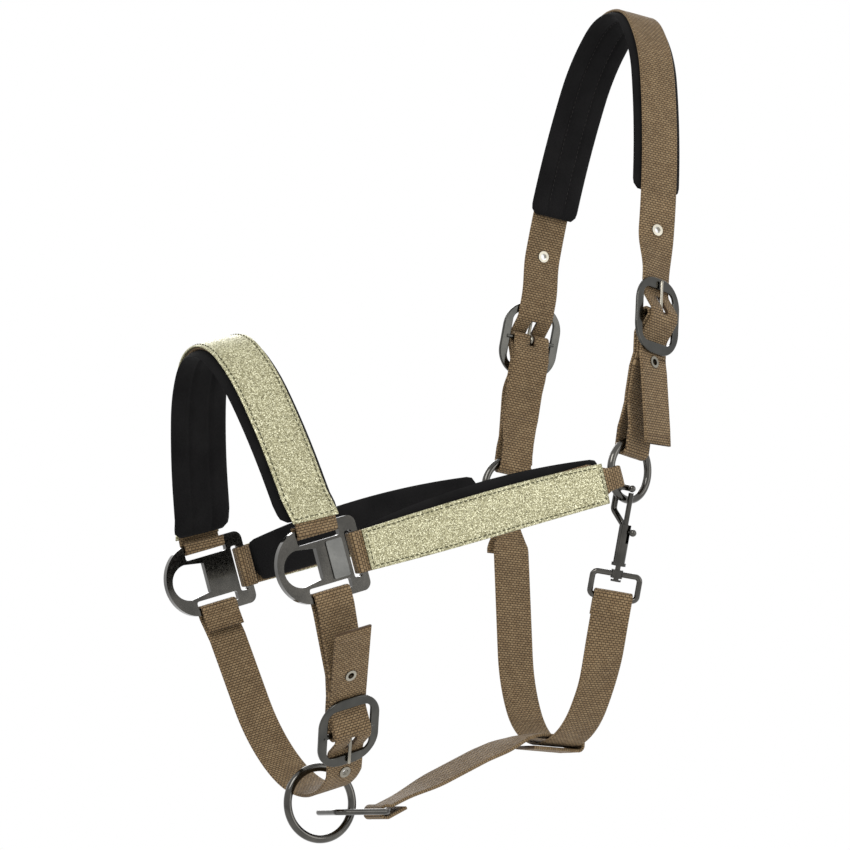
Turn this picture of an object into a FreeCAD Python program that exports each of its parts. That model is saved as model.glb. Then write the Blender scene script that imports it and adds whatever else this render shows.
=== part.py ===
import FreeCAD, Part
import math
import os
from FreeCAD import Vector

# Padded webbing headcollar.  Millimetres.  +Z is up, the horse faces -X, its near (left) side is -Y.
# The origin is the middle of the crown pad's inner face, where the headcollar rests on the poll.

# --- webbing, pads and overlays ---
WEB_W = 25.0            # width of the nylon webbing
WEB_T = 2.0             # its thickness
FOLD_GAP = 0.3          # air between a strap's fold and the metal it goes round
RING_LOOP_W = 13.0      # width of a strap where it bunches round a ring
RING_CLEAR = 0.8        # air between a strap and the wire of a ring that turns in it
NEAR_RING_CLEAR = 1.8   # the same where the near cheek strap meets the twisted ring
NEAR_LOOP_SLACK = 0.8
PAD_T = 5.0
CROWN_PAD_W = 33.0
NOSE_PAD_W = 38.0
CHEEK_PAD_W = 37.0
NOSE_WEB_W = 27.0
OVERLAY_T = 1.2
NOSE_OVERLAY_W = 30.0
CHEEK_OVERLAY_W = 26.0

# --- head shape: planes in which the straps lie ---
CROWN_LEAN = 8.5        # the crown leans back by this from the vertical, degrees
THROAT_LEAN = 3.7
NOSE_LEAN = -13.5       # the noseband leans forward
CHIN_LEAN = -16.5
CHEEK_RISE = 16.5       # the cheekpieces rise towards the back
CROWN_RISE = 290.0      # from the rings' centres to the poll, along the crown's plane
CHEEK_LENGTH = 199.0    # from a ring's centre to the middle of the fitting's rear slot
RING_HALF_SPAN = 74.0   # the rings' distance from the middle plane
FITTING_HALF_SPAN = 76.0
NEAR_TWIST = 21.0       # the near side's ring and buckle face this much to the rear

# --- rings ---
RING_R = 17.6           # cheek rings, to the middle of the wire
RING_WIRE = 2.35
CHIN_RING_R = 21.35
CHIN_RING_WIRE = 2.5

# --- buckles ---
BUCKLE_H = 47.0
BUCKLE_W = 41.0
BUCKLE_WINDOW_H = 33.0
BUCKLE_WINDOW_W = 29.0
BUCKLE_T = 2.0
BAR_R = 1.5
TONGUE_R = 1.1
BUCKLE_UP = 95.0        # the crown buckles' bars above the rings' centres
BUCKLE_OUT = {1: -1.0, -1: 6.5}     # outward of the rings, far and near
LEGS_MID = {1: -2.4, -1: 1.4}       # the buckle strap's middle below the buckle
TAIL = {1: (4.9, 8.2, 8.4), -1: (8.2, 11.7, 12.5)}      # the tail's distance out at three heights
TAIL_DRIFT = 6.0                    # the tails hang this far to the rear at their ends
BUCKLE_TILT = 6.0       # the buckles lean in towards the poll
EYELET_IN = 2.0
EYELET_OUT = 3.6

# --- nose fittings, in their own plane: u to the rear, v up ---
PLATE_T = 4.0
PLATE_FRONT = -31.0
PLATE_REAR = 9.0
PLATE_HALF_H = 22.5
LOOP_FRONT = -47.5      # the lead loop's foremost point
SLOT_BAR = 4.0
SLOT_INNER = 12.8       # the top and bottom slots start this far from the middle
SLOT_MID_U = -16.8
SLOT_HALF = 14.0
REAR_SLOT_W = 5.2

# --- chin buckle, chin ring, jaw link, snap ---
LINK_WIRE = 1.8
LINK_HALF_W = 14.6
JAW_ROLL = 15.0
THROAT_DROP = 163.4
EYE_WIRE = 1.75
EYE_HALF_W = 14.3
EYE_HEIGHT = 14.6
HOOK_WIRE = 1.9
EYE_TWIST = -24.0

# --- placing of straps, folds and eyelets ---
ARC_STEP = 8.0          # degrees of turn between two points of an arc
STRAP_IN = -2.3         # the strap passes this far inside the buckle's plane
STRAP_OVER = 5.4        # and this far outside it over the bar
LEG_OUT = -4.6          # the two legs of the buckle's own strap
LEG_IN = -7.0
BAR_FOLD_R = 2.85
SLOPE_FROM = 2.5
SLOPE_TO = 14.0
EYELET_ABOVE = 149.0
EYELET_BELOW = 66.5
PAD_END = 173.0
TOP_LOOP_W = 22.0
WEB_O = 3.3             # the cheek webbing's distance outside the fitting's middle plane
PAD_O = -0.35
BAR_S = -3.7            # the top slot's outer bar in the noseband's plane
CHIN_BAR_S = -5.8
CHIN_LOW = -121.5
CHIN_EYELET_UP = 14.0    # the tail eyelet above the buckle
CHIN_B = (-54.0, -86.0)
CHIN_SLANT = 34.0
LINK_REAR = (-174.0, -491.0)
LINK_FRONT = (-208.0, -491.5)
HOOK_ANGLE = 6.0       # the snap hangs this far in front of the near ring's lowest point
HOOK_GAP = 4.9          # from the ring's wire to the bolt's axis
SNAP_LEAN = 12.0        # its lower end leans in towards the throat
SNAP_FORE = 5.0         # and forward
EYE_AT = -45.0
BARREL_R = 3.6
BARREL_TOP = -15.0
BARREL_LOW = -38.0

X_AXIS = Vector(1, 0, 0)
Y_AXIS = Vector(0, 1, 0)
Z_AXIS = Vector(0, 0, 1)


def rad(degrees):
    return math.radians(degrees)


def turned(vector, axis, degrees):
    """A copy of the vector, turned about the axis."""
    return FreeCAD.Rotation(axis, degrees).multVec(vector)


def lean(degrees):
    """The up direction of a plane that leans back by this."""
    return Vector(math.sin(rad(degrees)), 0, math.cos(rad(degrees)))


class Frame:
    """A plane with an origin, two directions a and b in it, and its normal c."""

    def __init__(self, origin, a, b):
        self.o = origin
        self.a = Vector(a).normalize()
        self.b = (b - self.a * b.dot(self.a)).normalize()
        self.c = self.a.cross(self.b)

    def at(self, a, b, c=0.0):
        return self.o + self.a * a + self.b * b + self.c * c

    def tilted(self, a, b, degrees):
        """The frame at a point of this one, turned in its plane."""
        return Frame(self.at(a, b), turned(self.a, self.c, degrees), turned(self.b, self.c, degrees))

    def placement(self):
        """Carries a shape drawn in plain X, Y, Z to a, b, c."""
        m = FreeCAD.Matrix(self.a.x, self.b.x, self.c.x, self.o.x,
                           self.a.y, self.b.y, self.c.y, self.o.y,
                           self.a.z, self.b.z, self.c.z, self.o.z,
                           0, 0, 0, 1)
        return FreeCAD.Placement(m)

    def put(self, shape):
        placed = shape.copy()
        placed.Placement = self.placement().multiply(placed.Placement)
        return placed


# --- paths in a plane: lists of (a, b) points ---


class Trail:
    """A path laid out like a walk: straight stretches and arcs that follow each other."""

    def __init__(self, a, b, heading):
        self.points = [(a, b)]
        self.heading = heading

    def line(self, length):
        if length == 0:
            return self
        a, b = self.points[-1]
        self.points.append((a + length * math.cos(rad(self.heading)), b + length * math.sin(rad(self.heading))))
        return self

    def arc(self, radius, turn):
        a, b = self.points[-1]
        side = 1.0 if turn > 0 else -1.0
        ca = a - side * radius * math.sin(rad(self.heading))
        cb = b + side * radius * math.cos(rad(self.heading))
        steps = max(2, int(math.ceil(abs(turn) / ARC_STEP)))
        for k in range(1, steps + 1):
            h = self.heading + turn * k / steps
            self.points.append((ca + side * radius * math.sin(rad(h)), cb - side * radius * math.cos(rad(h))))
        self.heading += turn
        return self


def rounded(corners):
    """Points along a polyline whose corners (a, b, radius) are rounded; a radius of 0 keeps the corner."""
    out = []
    last = len(corners) - 1
    for i, (a, b, r) in enumerate(corners):
        here = Vector(a, b, 0)
        if i in (0, last) or r == 0:
            out.append((a, b))
            continue
        to_prev = Vector(corners[i - 1][0], corners[i - 1][1], 0) - here
        to_next = Vector(corners[i + 1][0], corners[i + 1][1], 0) - here
        inner = to_prev.getAngle(to_next)
        turn = math.pi - inner
        cut = min(r * math.tan(turn / 2), 0.49 * to_prev.Length, 0.49 * to_next.Length)
        radius = cut / math.tan(turn / 2)
        start = here + to_prev.normalize() * cut
        bisector = (to_prev + to_next.normalize()).normalize()
        centre = here + bisector * (radius / math.cos(turn / 2))
        spoke = start - centre
        sense = 1.0 if (here - start).cross(Vector(to_next)).z > 0 else -1.0
        steps = max(2, int(math.ceil(math.degrees(turn) / ARC_STEP)))
        for k in range(steps + 1):
            p = centre + turned(spoke, Z_AXIS, sense * math.degrees(turn) * k / steps)
            out.append((p.x, p.y))
    return out


def mirrored(points):
    return [(-a, b) for a, b in points]


def parallel(points, offset):
    """The path moved sideways, to the left of its own direction."""
    out = []
    for i, (a, b) in enumerate(points):
        before = points[max(i - 1, 0)]
        after = points[min(i + 1, len(points) - 1)]
        d = Vector(after[0] - before[0], after[1] - before[1], 0).normalize()
        out.append((a - d.y * offset, b + d.x * offset))
    return out


# --- straps: a rectangle carried along stations ---

def stations(frame, points, width=WEB_W, twist=0.0):
    """Stations (place, width direction, width) along a plane path; width may be a function of (a, b)."""
    size = width if callable(width) else (lambda a, b: width)
    return [(frame.at(a, b), turned(frame.c, frame.b, twist), size(a, b)) for a, b in points]


def curved(before, after, count):
    """Stations on a smooth curve that joins the end of one run to the start of another."""
    s0, s1 = before[-1], after[0]
    d0 = (s0[0] - before[-2][0]).normalize()
    d1 = (after[1][0] - s1[0]).normalize()
    reach = (s1[0] - s0[0]).Length
    out = []
    for k in range(1, count + 1):
        f = k / (count + 1.0)
        h10, h01, h11 = f ** 3 - 2 * f ** 2 + f, -2 * f ** 3 + 3 * f ** 2, f ** 3 - f ** 2
        place = s0[0] * (1 - h01) + d0 * (reach * h10) + s1[0] * h01 + d1 * (reach * h11)
        out.append((place, (s0[1] * (1 - h01) + s1[1] * h01).normalize(), s0[2] * (1 - h01) + s1[2] * h01))
    return out


def face_of(corners):
    return Part.Face(Part.makePolygon(corners + [corners[0]]))


def quads(a, b, c, d):
    """One flat face through four corners, or two triangles where they are not in a plane."""
    normal = (b - a).cross(d - a)
    if abs((c - a).dot(normal)) / normal.Length < 1e-8:
        return [face_of([a, b, c, d])]
    return [face_of([a, b, c]), face_of([a, c, d])]


def strap(line, thickness=WEB_T, closed=False):
    """The solid of a flat strap through its stations."""
    clean = [line[0]]
    for s in line[1:]:
        if (s[0] - clean[-1][0]).Length > 0.05:
            clean.append(s)
    if closed and (clean[0][0] - clean[-1][0]).Length < 0.05:
        clean.pop()
    rings = []
    count = len(clean)
    for i, (place, across, width) in enumerate(clean):
        if closed:
            ahead, behind = clean[(i + 1) % count][0], clean[i - 1][0]
        else:
            ahead, behind = clean[min(i + 1, count - 1)][0], clean[max(i - 1, 0)][0]
        to_next = ahead - place if ahead != place else place - behind
        to_here = place - behind if behind != place else to_next
        d1 = Vector(to_here).normalize()
        d2 = Vector(to_next).normalize()
        along = (d1 + d2).normalize()
        across = (across - along * across.dot(along)).normalize()
        normal = along.cross(across)
        stretch = 1.0 / max(0.5, along.dot(d1))
        w = across * (width / 2)
        n = normal * (thickness / 2 * stretch)
        rings.append([place - w - n, place + w - n, place + w + n, place - w + n])
    faces = []
    pairs = list(zip(rings, rings[1:]))
    if closed:
        pairs.append((rings[-1], rings[0]))
    else:
        faces.append(face_of(rings[0]))
        faces.append(face_of(rings[-1]))
    for r0, r1 in pairs:
        for k in range(4):
            faces += quads(r0[k], r0[(k + 1) % 4], r1[(k + 1) % 4], r1[k])
    solid = Part.makeSolid(Part.makeShell(faces))
    if solid.Volume < 0:
        solid.reverse()
    return solid


# --- metal pieces ---

def softened(shape, radius, edges=None):
    """The shape with its edges rounded."""
    return shape.makeFillet(radius, edges or shape.Edges)


def wire_tube(points, radius, closed=False):
    """A round wire through 3-D points (place, bend radius), with round bends."""
    edges = []
    starts = []
    count = len(points)
    for i, (place, bend) in enumerate(points):
        if not closed and i in (0, count - 1):
            starts.append((place, place, None))
            continue
        to_prev = (points[i - 1][0] - place)
        to_next = (points[(i + 1) % count][0] - place)
        turn = math.pi - to_prev.getAngle(to_next)
        cut = bend * math.tan(turn / 2)
        d1 = Vector(to_prev).normalize()
        d2 = Vector(to_next).normalize()
        s = place + d1 * cut
        e = place + d2 * cut
        bisector = (d1 + d2).normalize()
        mid = place + bisector * (bend / math.cos(turn / 2) - bend)
        starts.append((s, e, mid))
    for i, (s, e, mid) in enumerate(starts):
        if mid is not None:
            edges.append(Part.Arc(s, mid, e).toShape())
        if i + 1 < count or closed:
            nxt = starts[(i + 1) % count][0]
            if (nxt - e).Length > 1e-6:
                edges.append(Part.LineSegment(e, nxt).toShape())
    path = Part.Wire(Part.__sortEdges__(edges))
    first = path.OrderedEdges[0]
    begin = first.valueAt(first.FirstParameter)
    along = first.tangentAt(first.FirstParameter)
    section = Part.Wire(Part.makeCircle(radius, begin, along))
    return path.makePipeShell([section], True, True)


def torus_about(centre, axis, radius, wire):
    return Part.makeTorus(radius, wire, centre, axis)


def rounded_rectangle(w, h, r):
    """A wire in the XY plane about the origin."""
    x, y = w / 2, h / 2
    parts = []
    for sx, sy in ((1, 1), (-1, 1), (-1, -1), (1, -1)):
        cx, cy = sx * (x - r), sy * (y - r)
        mid = Vector(cx + sx * r * math.sqrt(0.5), cy + sy * r * math.sqrt(0.5), 0)
        flat = Vector(sx * x, cy, 0)
        top = Vector(cx, sy * y, 0)
        ends = (flat, top) if sx * sy > 0 else (top, flat)
        parts.append((ends[0], mid, ends[1]))
    edges = []
    for i, (s, m, e) in enumerate(parts):
        edges.append(Part.Arc(s, m, e).toShape())
        nxt = parts[(i + 1) % 4][0]
        if (nxt - e).Length > 1e-6:
            edges.append(Part.LineSegment(e, nxt).toShape())
    return Part.Wire(edges)


def plate(wire, thickness):
    """A flat plate about the XY plane."""
    solid = Part.Face(wire).extrude(Vector(0, 0, thickness))
    solid.translate(Vector(0, 0, -thickness / 2))
    return solid


def eyelet(frame):
    """A rolled metal eyelet; the frame's a is the strap's outward direction."""
    along = Frame(frame.o, frame.b, frame.c)
    half = WEB_T / 2 + 0.05
    flange = 0.5
    body = Part.makeCylinder(2.6, 2 * (half + flange), Vector(0, 0, -half - flange))
    for z in (half, -half - flange):
        body = body.fuse(Part.makeCylinder(EYELET_OUT, flange, Vector(0, 0, z)))
    bore = Part.makeCylinder(EYELET_IN, 10, Vector(0, 0, -5))
    return along.put(body.cut(bore).removeSplitter())


def eyelet_hole(frame):
    along = Frame(frame.o, frame.b, frame.c)
    hole = Part.makeCylinder(2.65, 8, Vector(0, 0, -4))
    for z in (WEB_T / 2 + 0.02, -WEB_T / 2 - 1.52):
        hole = hole.fuse(Part.makeCylinder(EYELET_OUT + 0.05, 1.5, Vector(0, 0, z)))
    return along.put(hole)


# --- buckles: p (a) points outward, q (b) towards the part of the strap that comes in under the tongue ---


def buckle_frame(buckle):
    face = Frame(buckle.o, buckle.c, buckle.b)
    ring = plate(rounded_rectangle(BUCKLE_W, BUCKLE_H, 16.5), BUCKLE_T)
    ring = ring.cut(plate(rounded_rectangle(BUCKLE_WINDOW_W, BUCKLE_WINDOW_H, 5.5), 3 * BUCKLE_T))
    ring = softened(ring, 0.7)
    half = BUCKLE_WINDOW_W / 2 + 2.5
    bar = Part.makeCylinder(BAR_R, 2 * half, Vector(-half, 0, 0), X_AXIS)
    return face.put(ring.fuse(bar))


def buckle_tongue(buckle):
    loop_r = BAR_R + 0.06 + TONGUE_R
    loop = torus_about(Vector(0, 0, 0), Z_AXIS, loop_r, TONGUE_R)
    length = BUCKLE_H / 2 - 2.5
    lean_in = 0.2 / length
    rod = Part.makeCylinder(TONGUE_R - 0.05, length + 0.5, Vector(loop_r, -0.5, 0), Vector(-lean_in, 1, 0))
    tip = Part.makeSphere(TONGUE_R, Vector(loop_r - 0.2, length, 0))
    return buckle.put(loop.fuse([rod, tip]))


def tongue_slot(buckle):
    """Room for the tongue in the strap that it passes through."""
    return buckle.put(Part.makeBox(12, 11.5, 4.4, Vector(-4, 0.5, -2.2)))


def loop_slot(buckle):
    """Room for the tongue's loop in the fold of the buckle's own strap."""
    return buckle.put(Part.makeBox(9.6, 9.6, 3.4, Vector(-4.8, -4.8, -1.7)))


def over_bar():
    """The strap's corners through the buckle, in p and q, from the tongue's side to the other."""
    return [(STRAP_IN, 26.0, 0), (STRAP_IN, SLOPE_TO, 7), (STRAP_OVER, SLOPE_FROM, 4),
            (STRAP_OVER, -SLOPE_FROM, 4), (STRAP_IN, -SLOPE_TO, 7), (STRAP_IN, -25.0, 8)]


def bar_fold():
    """The buckle's own strap round the bar, from the outer leg to the inner one."""
    arc = [(BAR_FOLD_R * math.cos(rad(k)), BAR_FOLD_R * math.sin(rad(k))) for k in range(0, 181, 20)]
    outer = [(LEG_OUT, -24.0), (LEG_OUT, -12.0), (BAR_FOLD_R, -1.5)]
    inner = [(-BAR_FOLD_R, -1.5), (LEG_IN, -11.5), (LEG_IN, -24.0)]
    return outer + arc + inner


def in_plane(corner, origin, p, q):
    """A buckle's corner (p, q, ...) given in the coordinates of the plane it lies in."""
    a = origin[0] + corner[0] * p[0] + corner[1] * q[0]
    b = origin[1] + corner[0] * p[1] + corner[1] * q[1]
    return (a, b) + tuple(corner[2:])


# --- the crown: strap, pad, buckles ---

UP = lean(CROWN_LEAN)
CROWN_MID = UP * -CROWN_RISE
CROWN = Frame(CROWN_MID, Y_AXIS, UP)


def side_frame(side):
    """At a ring's centre: a outward, b up the crown.  side is +1 for the far side, -1 for the near one."""
    outward = Vector(0, side, 0)
    if side < 0:
        outward = turned(outward, Z_AXIS, NEAR_TWIST)
        outward = outward - UP * outward.dot(UP)
    return Frame(CROWN_MID + Y_AXIS * (side * RING_HALF_SPAN), outward, UP)


def buckle_at(side):
    return side_frame(side).tilted(BUCKLE_OUT[side], BUCKLE_UP, BUCKLE_TILT)


def crown_half(offset=0.0, end=12.0):
    """The far half of the crown's path, from the poll down."""
    over_pad = PAD_T + 0.2 + WEB_T / 2
    trail = Trail(0, CROWN_RISE + over_pad + offset, 0)
    trail.arc(34 + offset, -44).arc(95 + offset, -26).arc(420 + offset, -14).line(end)
    return trail.points


def crown_line(side):
    """Stations of one half of the crown strap, from the poll to the end of its tail."""
    frame = side_frame(side)
    shoulder = crown_half(end=2.0)
    if side < 0:
        shoulder = mirrored(shoulder)
    top = stations(CROWN, shoulder)
    tilt = rad(BUCKLE_TILT)
    p = (math.cos(tilt), math.sin(tilt))
    q = (-math.sin(tilt), math.cos(tilt))
    corners = [in_plane(c, (BUCKLE_OUT[side], BUCKLE_UP), p, q) for c in over_bar()]
    corners += [(TAIL[side][0], 62.0, 20), (TAIL[side][1], 28.0, 20), (TAIL[side][2], 17.0, 0)]
    points = rounded(corners)
    low = stations(frame, points)
    low = [(s[0] + CROWN.c * tail_drift(point[1]), s[1] * side, s[2]) for s, point in zip(low, points)]
    return top + curved(top, low, 5) + low


def tail_drift(height):
    """How far to the rear a tail hangs at a height above the ring."""
    return TAIL_DRIFT * max(0.0, (68.0 - height) / 51.0)


def crown_strap():
    far = crown_line(1)
    near = crown_line(-1)
    near.reverse()
    solid = strap(near + far[1:])
    for side in (-1, 1):
        solid = solid.cut(tongue_slot(buckle_at(side)))
        for spot in crown_eyelet_spots(side):
            solid = solid.cut(eyelet_hole(spot))
    return solid


def crown_eyelet_spots(side):
    """Frames of one side's two free eyelets: above the buckle and on the tail."""
    line = crown_line(side)
    spots = []
    for height in (EYELET_ABOVE, EYELET_BELOW):
        for s0, s1 in zip(line, line[1:]):
            h0 = (s0[0] - CROWN_MID).dot(UP)
            h1 = (s1[0] - CROWN_MID).dot(UP)
            if h0 >= height > h1 or (h0 > height >= h1):
                f = (h0 - height) / (h0 - h1)
                place = s0[0] + (s1[0] - s0[0]) * f
                along = (s0[0] - s1[0]).normalize()
                across = s0[1] * (1 - f) + s1[1] * f
                outward = along.cross(across)
                if outward.y * side < 0:
                    outward = outward * -1
                spots.append(Frame(place, outward, along))
                break
    return spots


def crown_pad():
    half = parallel(crown_half(end=0.0), -(PAD_T / 2 + 0.2 + WEB_T / 2))
    keep = [pt for pt in half if pt[1] > PAD_END]
    last, nxt = keep[-1], half[len(keep)]
    f = (last[1] - PAD_END) / (last[1] - nxt[1])
    keep.append((last[0] + (nxt[0] - last[0]) * f, PAD_END))
    path = mirrored(keep)[::-1] + keep[1:]
    return strap(stations(CROWN, path, CROWN_PAD_W), PAD_T)


def crown_eyelets():
    rings = [eyelet(spot) for side in (-1, 1) for spot in crown_eyelet_spots(side)]
    return Part.makeCompound(rings)


def ring_fold(width, clear=RING_CLEAR):
    """How far past a ring's wire a fold's middle line lies, and its offset to each side."""
    inner = math.sqrt((RING_R - RING_WIRE) ** 2 - (width / 2) ** 2)
    return RING_R - inner + 0.5 + WEB_T / 2, RING_WIRE + clear + WEB_T / 2


def crown_buckle_strap(side):
    """One loop of webbing round the buckle's bar and the ring."""
    frame = side_frame(side)
    tilt = rad(BUCKLE_TILT)
    p = (math.cos(tilt), math.sin(tilt))
    q = (-math.sin(tilt), math.cos(tilt))
    past, off = ring_fold(TOP_LOOP_W)
    bottom = RING_R - past
    fold = [in_plane(c, (BUCKLE_OUT[side], BUCKLE_UP), p, q) for c in bar_fold()]
    mid = LEGS_MID[side]
    low = rounded([(mid + 1.15, 62.0, 0), (mid / 2 + 1.15, 40.0, 12), (off, 25.0, 8), (off, bottom, off),
                   (-off, bottom, off), (-off, 25.0, 8), (mid / 2 - 1.15, 40.0, 12), (mid - 1.15, 62.0, 0)])
    path = fold + low[::-1]

    def width(a, b):
        return WEB_W - (WEB_W - TOP_LOOP_W) * min(1.0, max(0.0, (44.0 - b) / 16.0))
    solid = strap(stations(frame, path, width), closed=True)
    return solid.cut(loop_slot(buckle_at(side)))


def cheek_ring(side):
    frame = side_frame(side)
    return torus_about(frame.o, frame.a, RING_R, RING_WIRE)


# --- the cheeks ---

FIT_U = Vector(math.cos(rad(CHEEK_RISE)), 0, math.sin(rad(CHEEK_RISE)))
FIT_V = Vector(-math.sin(rad(CHEEK_RISE)), 0, math.cos(rad(CHEEK_RISE)))
SLOT_MID = CROWN_MID - FIT_U * CHEEK_LENGTH


def fitting_frame(side):
    """a to the rear, b up, in the plane of a nose fitting."""
    return Frame(SLOT_MID + Y_AXIS * (side * FITTING_HALF_SPAN), FIT_U, FIT_V)


def cheek_frame(side):
    """a outward, b along the cheek from the fitting's rear slot to the ring's wire."""
    start = SLOT_MID + Y_AXIS * (side * FITTING_HALF_SPAN)
    ring = side_frame(side)
    front = (FIT_U * -1)
    front = (front - ring.a * front.dot(ring.a)).normalize()
    wire = ring.o + front * RING_R
    along = (wire - start).normalize()
    out = Vector(0, side, 0)
    frame = Frame(start, out - along * along.dot(out), along)
    return frame, (wire - start).Length


BAR_O = PLATE_T / 2 + FOLD_GAP + WEB_T / 2


def cheek_strap(side):
    frame, reach = cheek_frame(side)
    past, off = ring_fold(RING_LOOP_W, RING_CLEAR if side > 0 else NEAR_RING_CLEAR)
    slot = REAR_SLOT_W - FOLD_GAP - 0.1 - WEB_T / 2
    mid = 0.0
    if side < 0:
        mid = -0.4
        past += NEAR_LOOP_SLACK
    wide = BAR_O + 0.25
    corners = [(-wide, 11.2, 0), (-wide, slot, 1.6), (wide, slot, 1.6), (WEB_O, 20.0, 0), (WEB_O, 166.0, 10),
               (mid + off, reach - 5, 10), (mid + off, reach + past, off), (mid - off, reach + past, off),
               (mid - off, reach - 5.0, 0)]

    def width(a, b):
        return 24.5 - (24.5 - RING_LOOP_W) * min(1.0, max(0.0, (b - 167.0) / 12.0))
    return strap(stations(frame, rounded(corners), width))


def cheek_slab(side, t0, t1, width, o, thickness, radius):
    """A flat piece along the cheek with rounded corners."""
    frame = cheek_frame(side)[0]
    face = Frame(frame.at(o, (t0 + t1) / 2), frame.b, frame.c)
    return face.put(plate(rounded_rectangle(t1 - t0, width, radius), thickness))


def cheek_pad(side):
    slab = cheek_slab(side, 13.0, 175.5, CHEEK_PAD_W - 6, PAD_O, PAD_T, 9.0)
    slab.translate(FIT_V * 3.5)
    return slab


def cheek_overlay(side):
    return cheek_slab(side, 10.5, 166.0, CHEEK_OVERLAY_W, WEB_O + 1.35 + OVERLAY_T / 2, OVERLAY_T, 2.0)


# --- the nose fittings ---

def ellipse_plate(u, v, half_u, half_v, thickness):
    curve = Part.Ellipse(Vector(0, half_v, 0), Vector(half_u, 0, 0), Vector(0, 0, 0))
    solid = Part.Face(Part.Wire(curve.toShape())).extrude(Vector(0, 0, thickness))
    solid.translate(Vector(u, v, -thickness / 2))
    return solid


def slot_plate(u, v, w, h):
    solid = plate(rounded_rectangle(w, h, 1.4), 3 * PLATE_T)
    solid.translate(Vector(u, v, 0))
    return solid


def loop_opening():
    """The D-shaped gap that a lead's snap goes through."""
    inner, arm, front = -20.0, 9.0, LOOP_FRONT + 4.0
    low, high = Vector(-33, -11, 0), Vector(-33, 11, 0)
    edges = [Part.LineSegment(Vector(inner, -arm, 0), low).toShape(),
             Part.Arc(low, Vector(front, 0, 0), high).toShape(),
             Part.LineSegment(high, Vector(inner, arm, 0)).toShape(),
             Part.LineSegment(Vector(inner, arm, 0), Vector(inner, -arm, 0)).toShape()]
    solid = Part.Face(Part.Wire(edges)).extrude(Vector(0, 0, 3 * PLATE_T))
    solid.translate(Vector(0, 0, -1.5 * PLATE_T))
    return solid


def nose_fitting(side):
    w = PLATE_REAR - PLATE_FRONT
    body = plate(rounded_rectangle(w, 2 * PLATE_HALF_H, 5.0), PLATE_T)
    body.translate(Vector((PLATE_REAR + PLATE_FRONT) / 2, 0, 0))
    loop_mid = LOOP_FRONT + 20.7
    body = body.fuse(ellipse_plate(loop_mid, 0, 20.7, 22.0, PLATE_T)).removeSplitter()
    slot_h = PLATE_HALF_H - SLOT_BAR - SLOT_INNER
    for sign in (-1, 1):
        v = sign * (SLOT_INNER + slot_h / 2)
        body = body.cut(slot_plate(SLOT_MID_U, v, 2 * SLOT_HALF, slot_h))
    body = body.cut(slot_plate(REAR_SLOT_W / 2, 0, REAR_SLOT_W, 28.0))
    body = body.cut(loop_opening())
    return fitting_frame(side).put(body)


def fitting_badge(side):
    panel = plate(rounded_rectangle(10.6, 22.6, 1.0), 0.8)
    out = side * -1
    panel.translate(Vector(-8.0, 0, out * (PLATE_T / 2 + 0.45)))
    return fitting_frame(side).put(panel)


# --- the noseband ---

NOSE = Frame(Vector(-256.3, 0, -325.0), Y_AXIS, lean(NOSE_LEAN))


def nose_half():
    return Trail(0, 113, 0).arc(38, -42).arc(95, -20).arc(300, -10).line(14).points


def nose_end():
    """The far end's fold round the fitting's top bar, from the noseband down."""
    y = FITTING_HALF_SPAN
    low = BAR_S - SLOT_BAR / 2 - FOLD_GAP - WEB_T / 2
    corners = [(70.6, 15.5, 0), (y + BAR_O, 1.0, 5), (y + BAR_O, low, 1.6), (y - BAR_O, low, 1.6),
               (y - BAR_O, -1.0, 0)]
    return rounded(corners)


def across_u(line, sign=1):
    return [(s[0], FIT_U * sign, s[2]) for s in line]


def nose_run():
    """The far half of the strap's path down to its end inside the fitting."""
    return [pt for pt in nose_half() if pt[1] > 18] + nose_end()


def noseband_strap():
    half = nose_run()
    path = mirrored(half)[::-1] + half[1:]
    return strap(across_u(stations(NOSE, path, NOSE_WEB_W)))


def nose_layer(offset, end, width, thickness):
    half = parallel([pt for pt in nose_run() if pt[1] > 0.0 and pt[0] < 79.5], offset)
    keep = [pt for pt in half if pt[1] > end]
    path = mirrored(keep)[::-1] + keep[1:]
    return strap(across_u(stations(NOSE, path, width)), thickness)


def noseband_pad():
    return nose_layer(-(WEB_T / 2 + 0.2 + PAD_T / 2), 2.0, NOSE_PAD_W, PAD_T)


def noseband_overlay():
    return nose_layer(WEB_T / 2 + 0.1 + OVERLAY_T / 2, 1.0, NOSE_OVERLAY_W, OVERLAY_T)


# --- the chin: strap, buckle, ring ---

CHIN = Frame(Vector(-246.35, 0, -362.05), Y_AXIS, lean(CHIN_LEAN))
CHIN_P = (-math.cos(rad(CHIN_SLANT)), -math.sin(rad(CHIN_SLANT)))
CHIN_Q = (math.sin(rad(CHIN_SLANT)), -math.cos(rad(CHIN_SLANT)))


def chin_buckle_frame_axes():
    out = CHIN.a * CHIN_P[0] + CHIN.b * CHIN_P[1]
    up = CHIN.a * CHIN_Q[0] + CHIN.b * CHIN_Q[1]
    return Frame(CHIN.at(CHIN_B[0], CHIN_B[1]), out, up)


def chin_bar_fold():
    """The far end's fold round the fitting's bottom bar, from its free end to the strap going down."""
    y = FITTING_HALF_SPAN
    high = CHIN_BAR_S + SLOT_BAR / 2 + FOLD_GAP + WEB_T / 2
    return [(y - BAR_O - 2, -18.0, 0), (y - BAR_O, -9.0, 4), (y - BAR_O, high, 1.6), (y + BAR_O, high, 1.6),
            (y + BAR_O, -9.0, 6), (72.9, -24.0, 0)]


def chin_line():
    """The chin strap's path from the far fitting round the jaw and through the buckle to its free end."""
    up = Trail(0, CHIN_LOW, 0).arc(61, 40).arc(74, 38).points
    far = rounded(chin_bar_fold()) + up[::-1]
    near = mirrored(Trail(0, CHIN_LOW, 0).arc(61, 34).points)[1:]
    through = [in_plane(c, CHIN_B, CHIN_P, CHIN_Q) for c in over_bar()]
    through[-1] = through[-1][:2] + (12,)
    tail = through + [(-93.0, -27.0, 0)]
    return far + near + rounded(tail)


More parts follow.
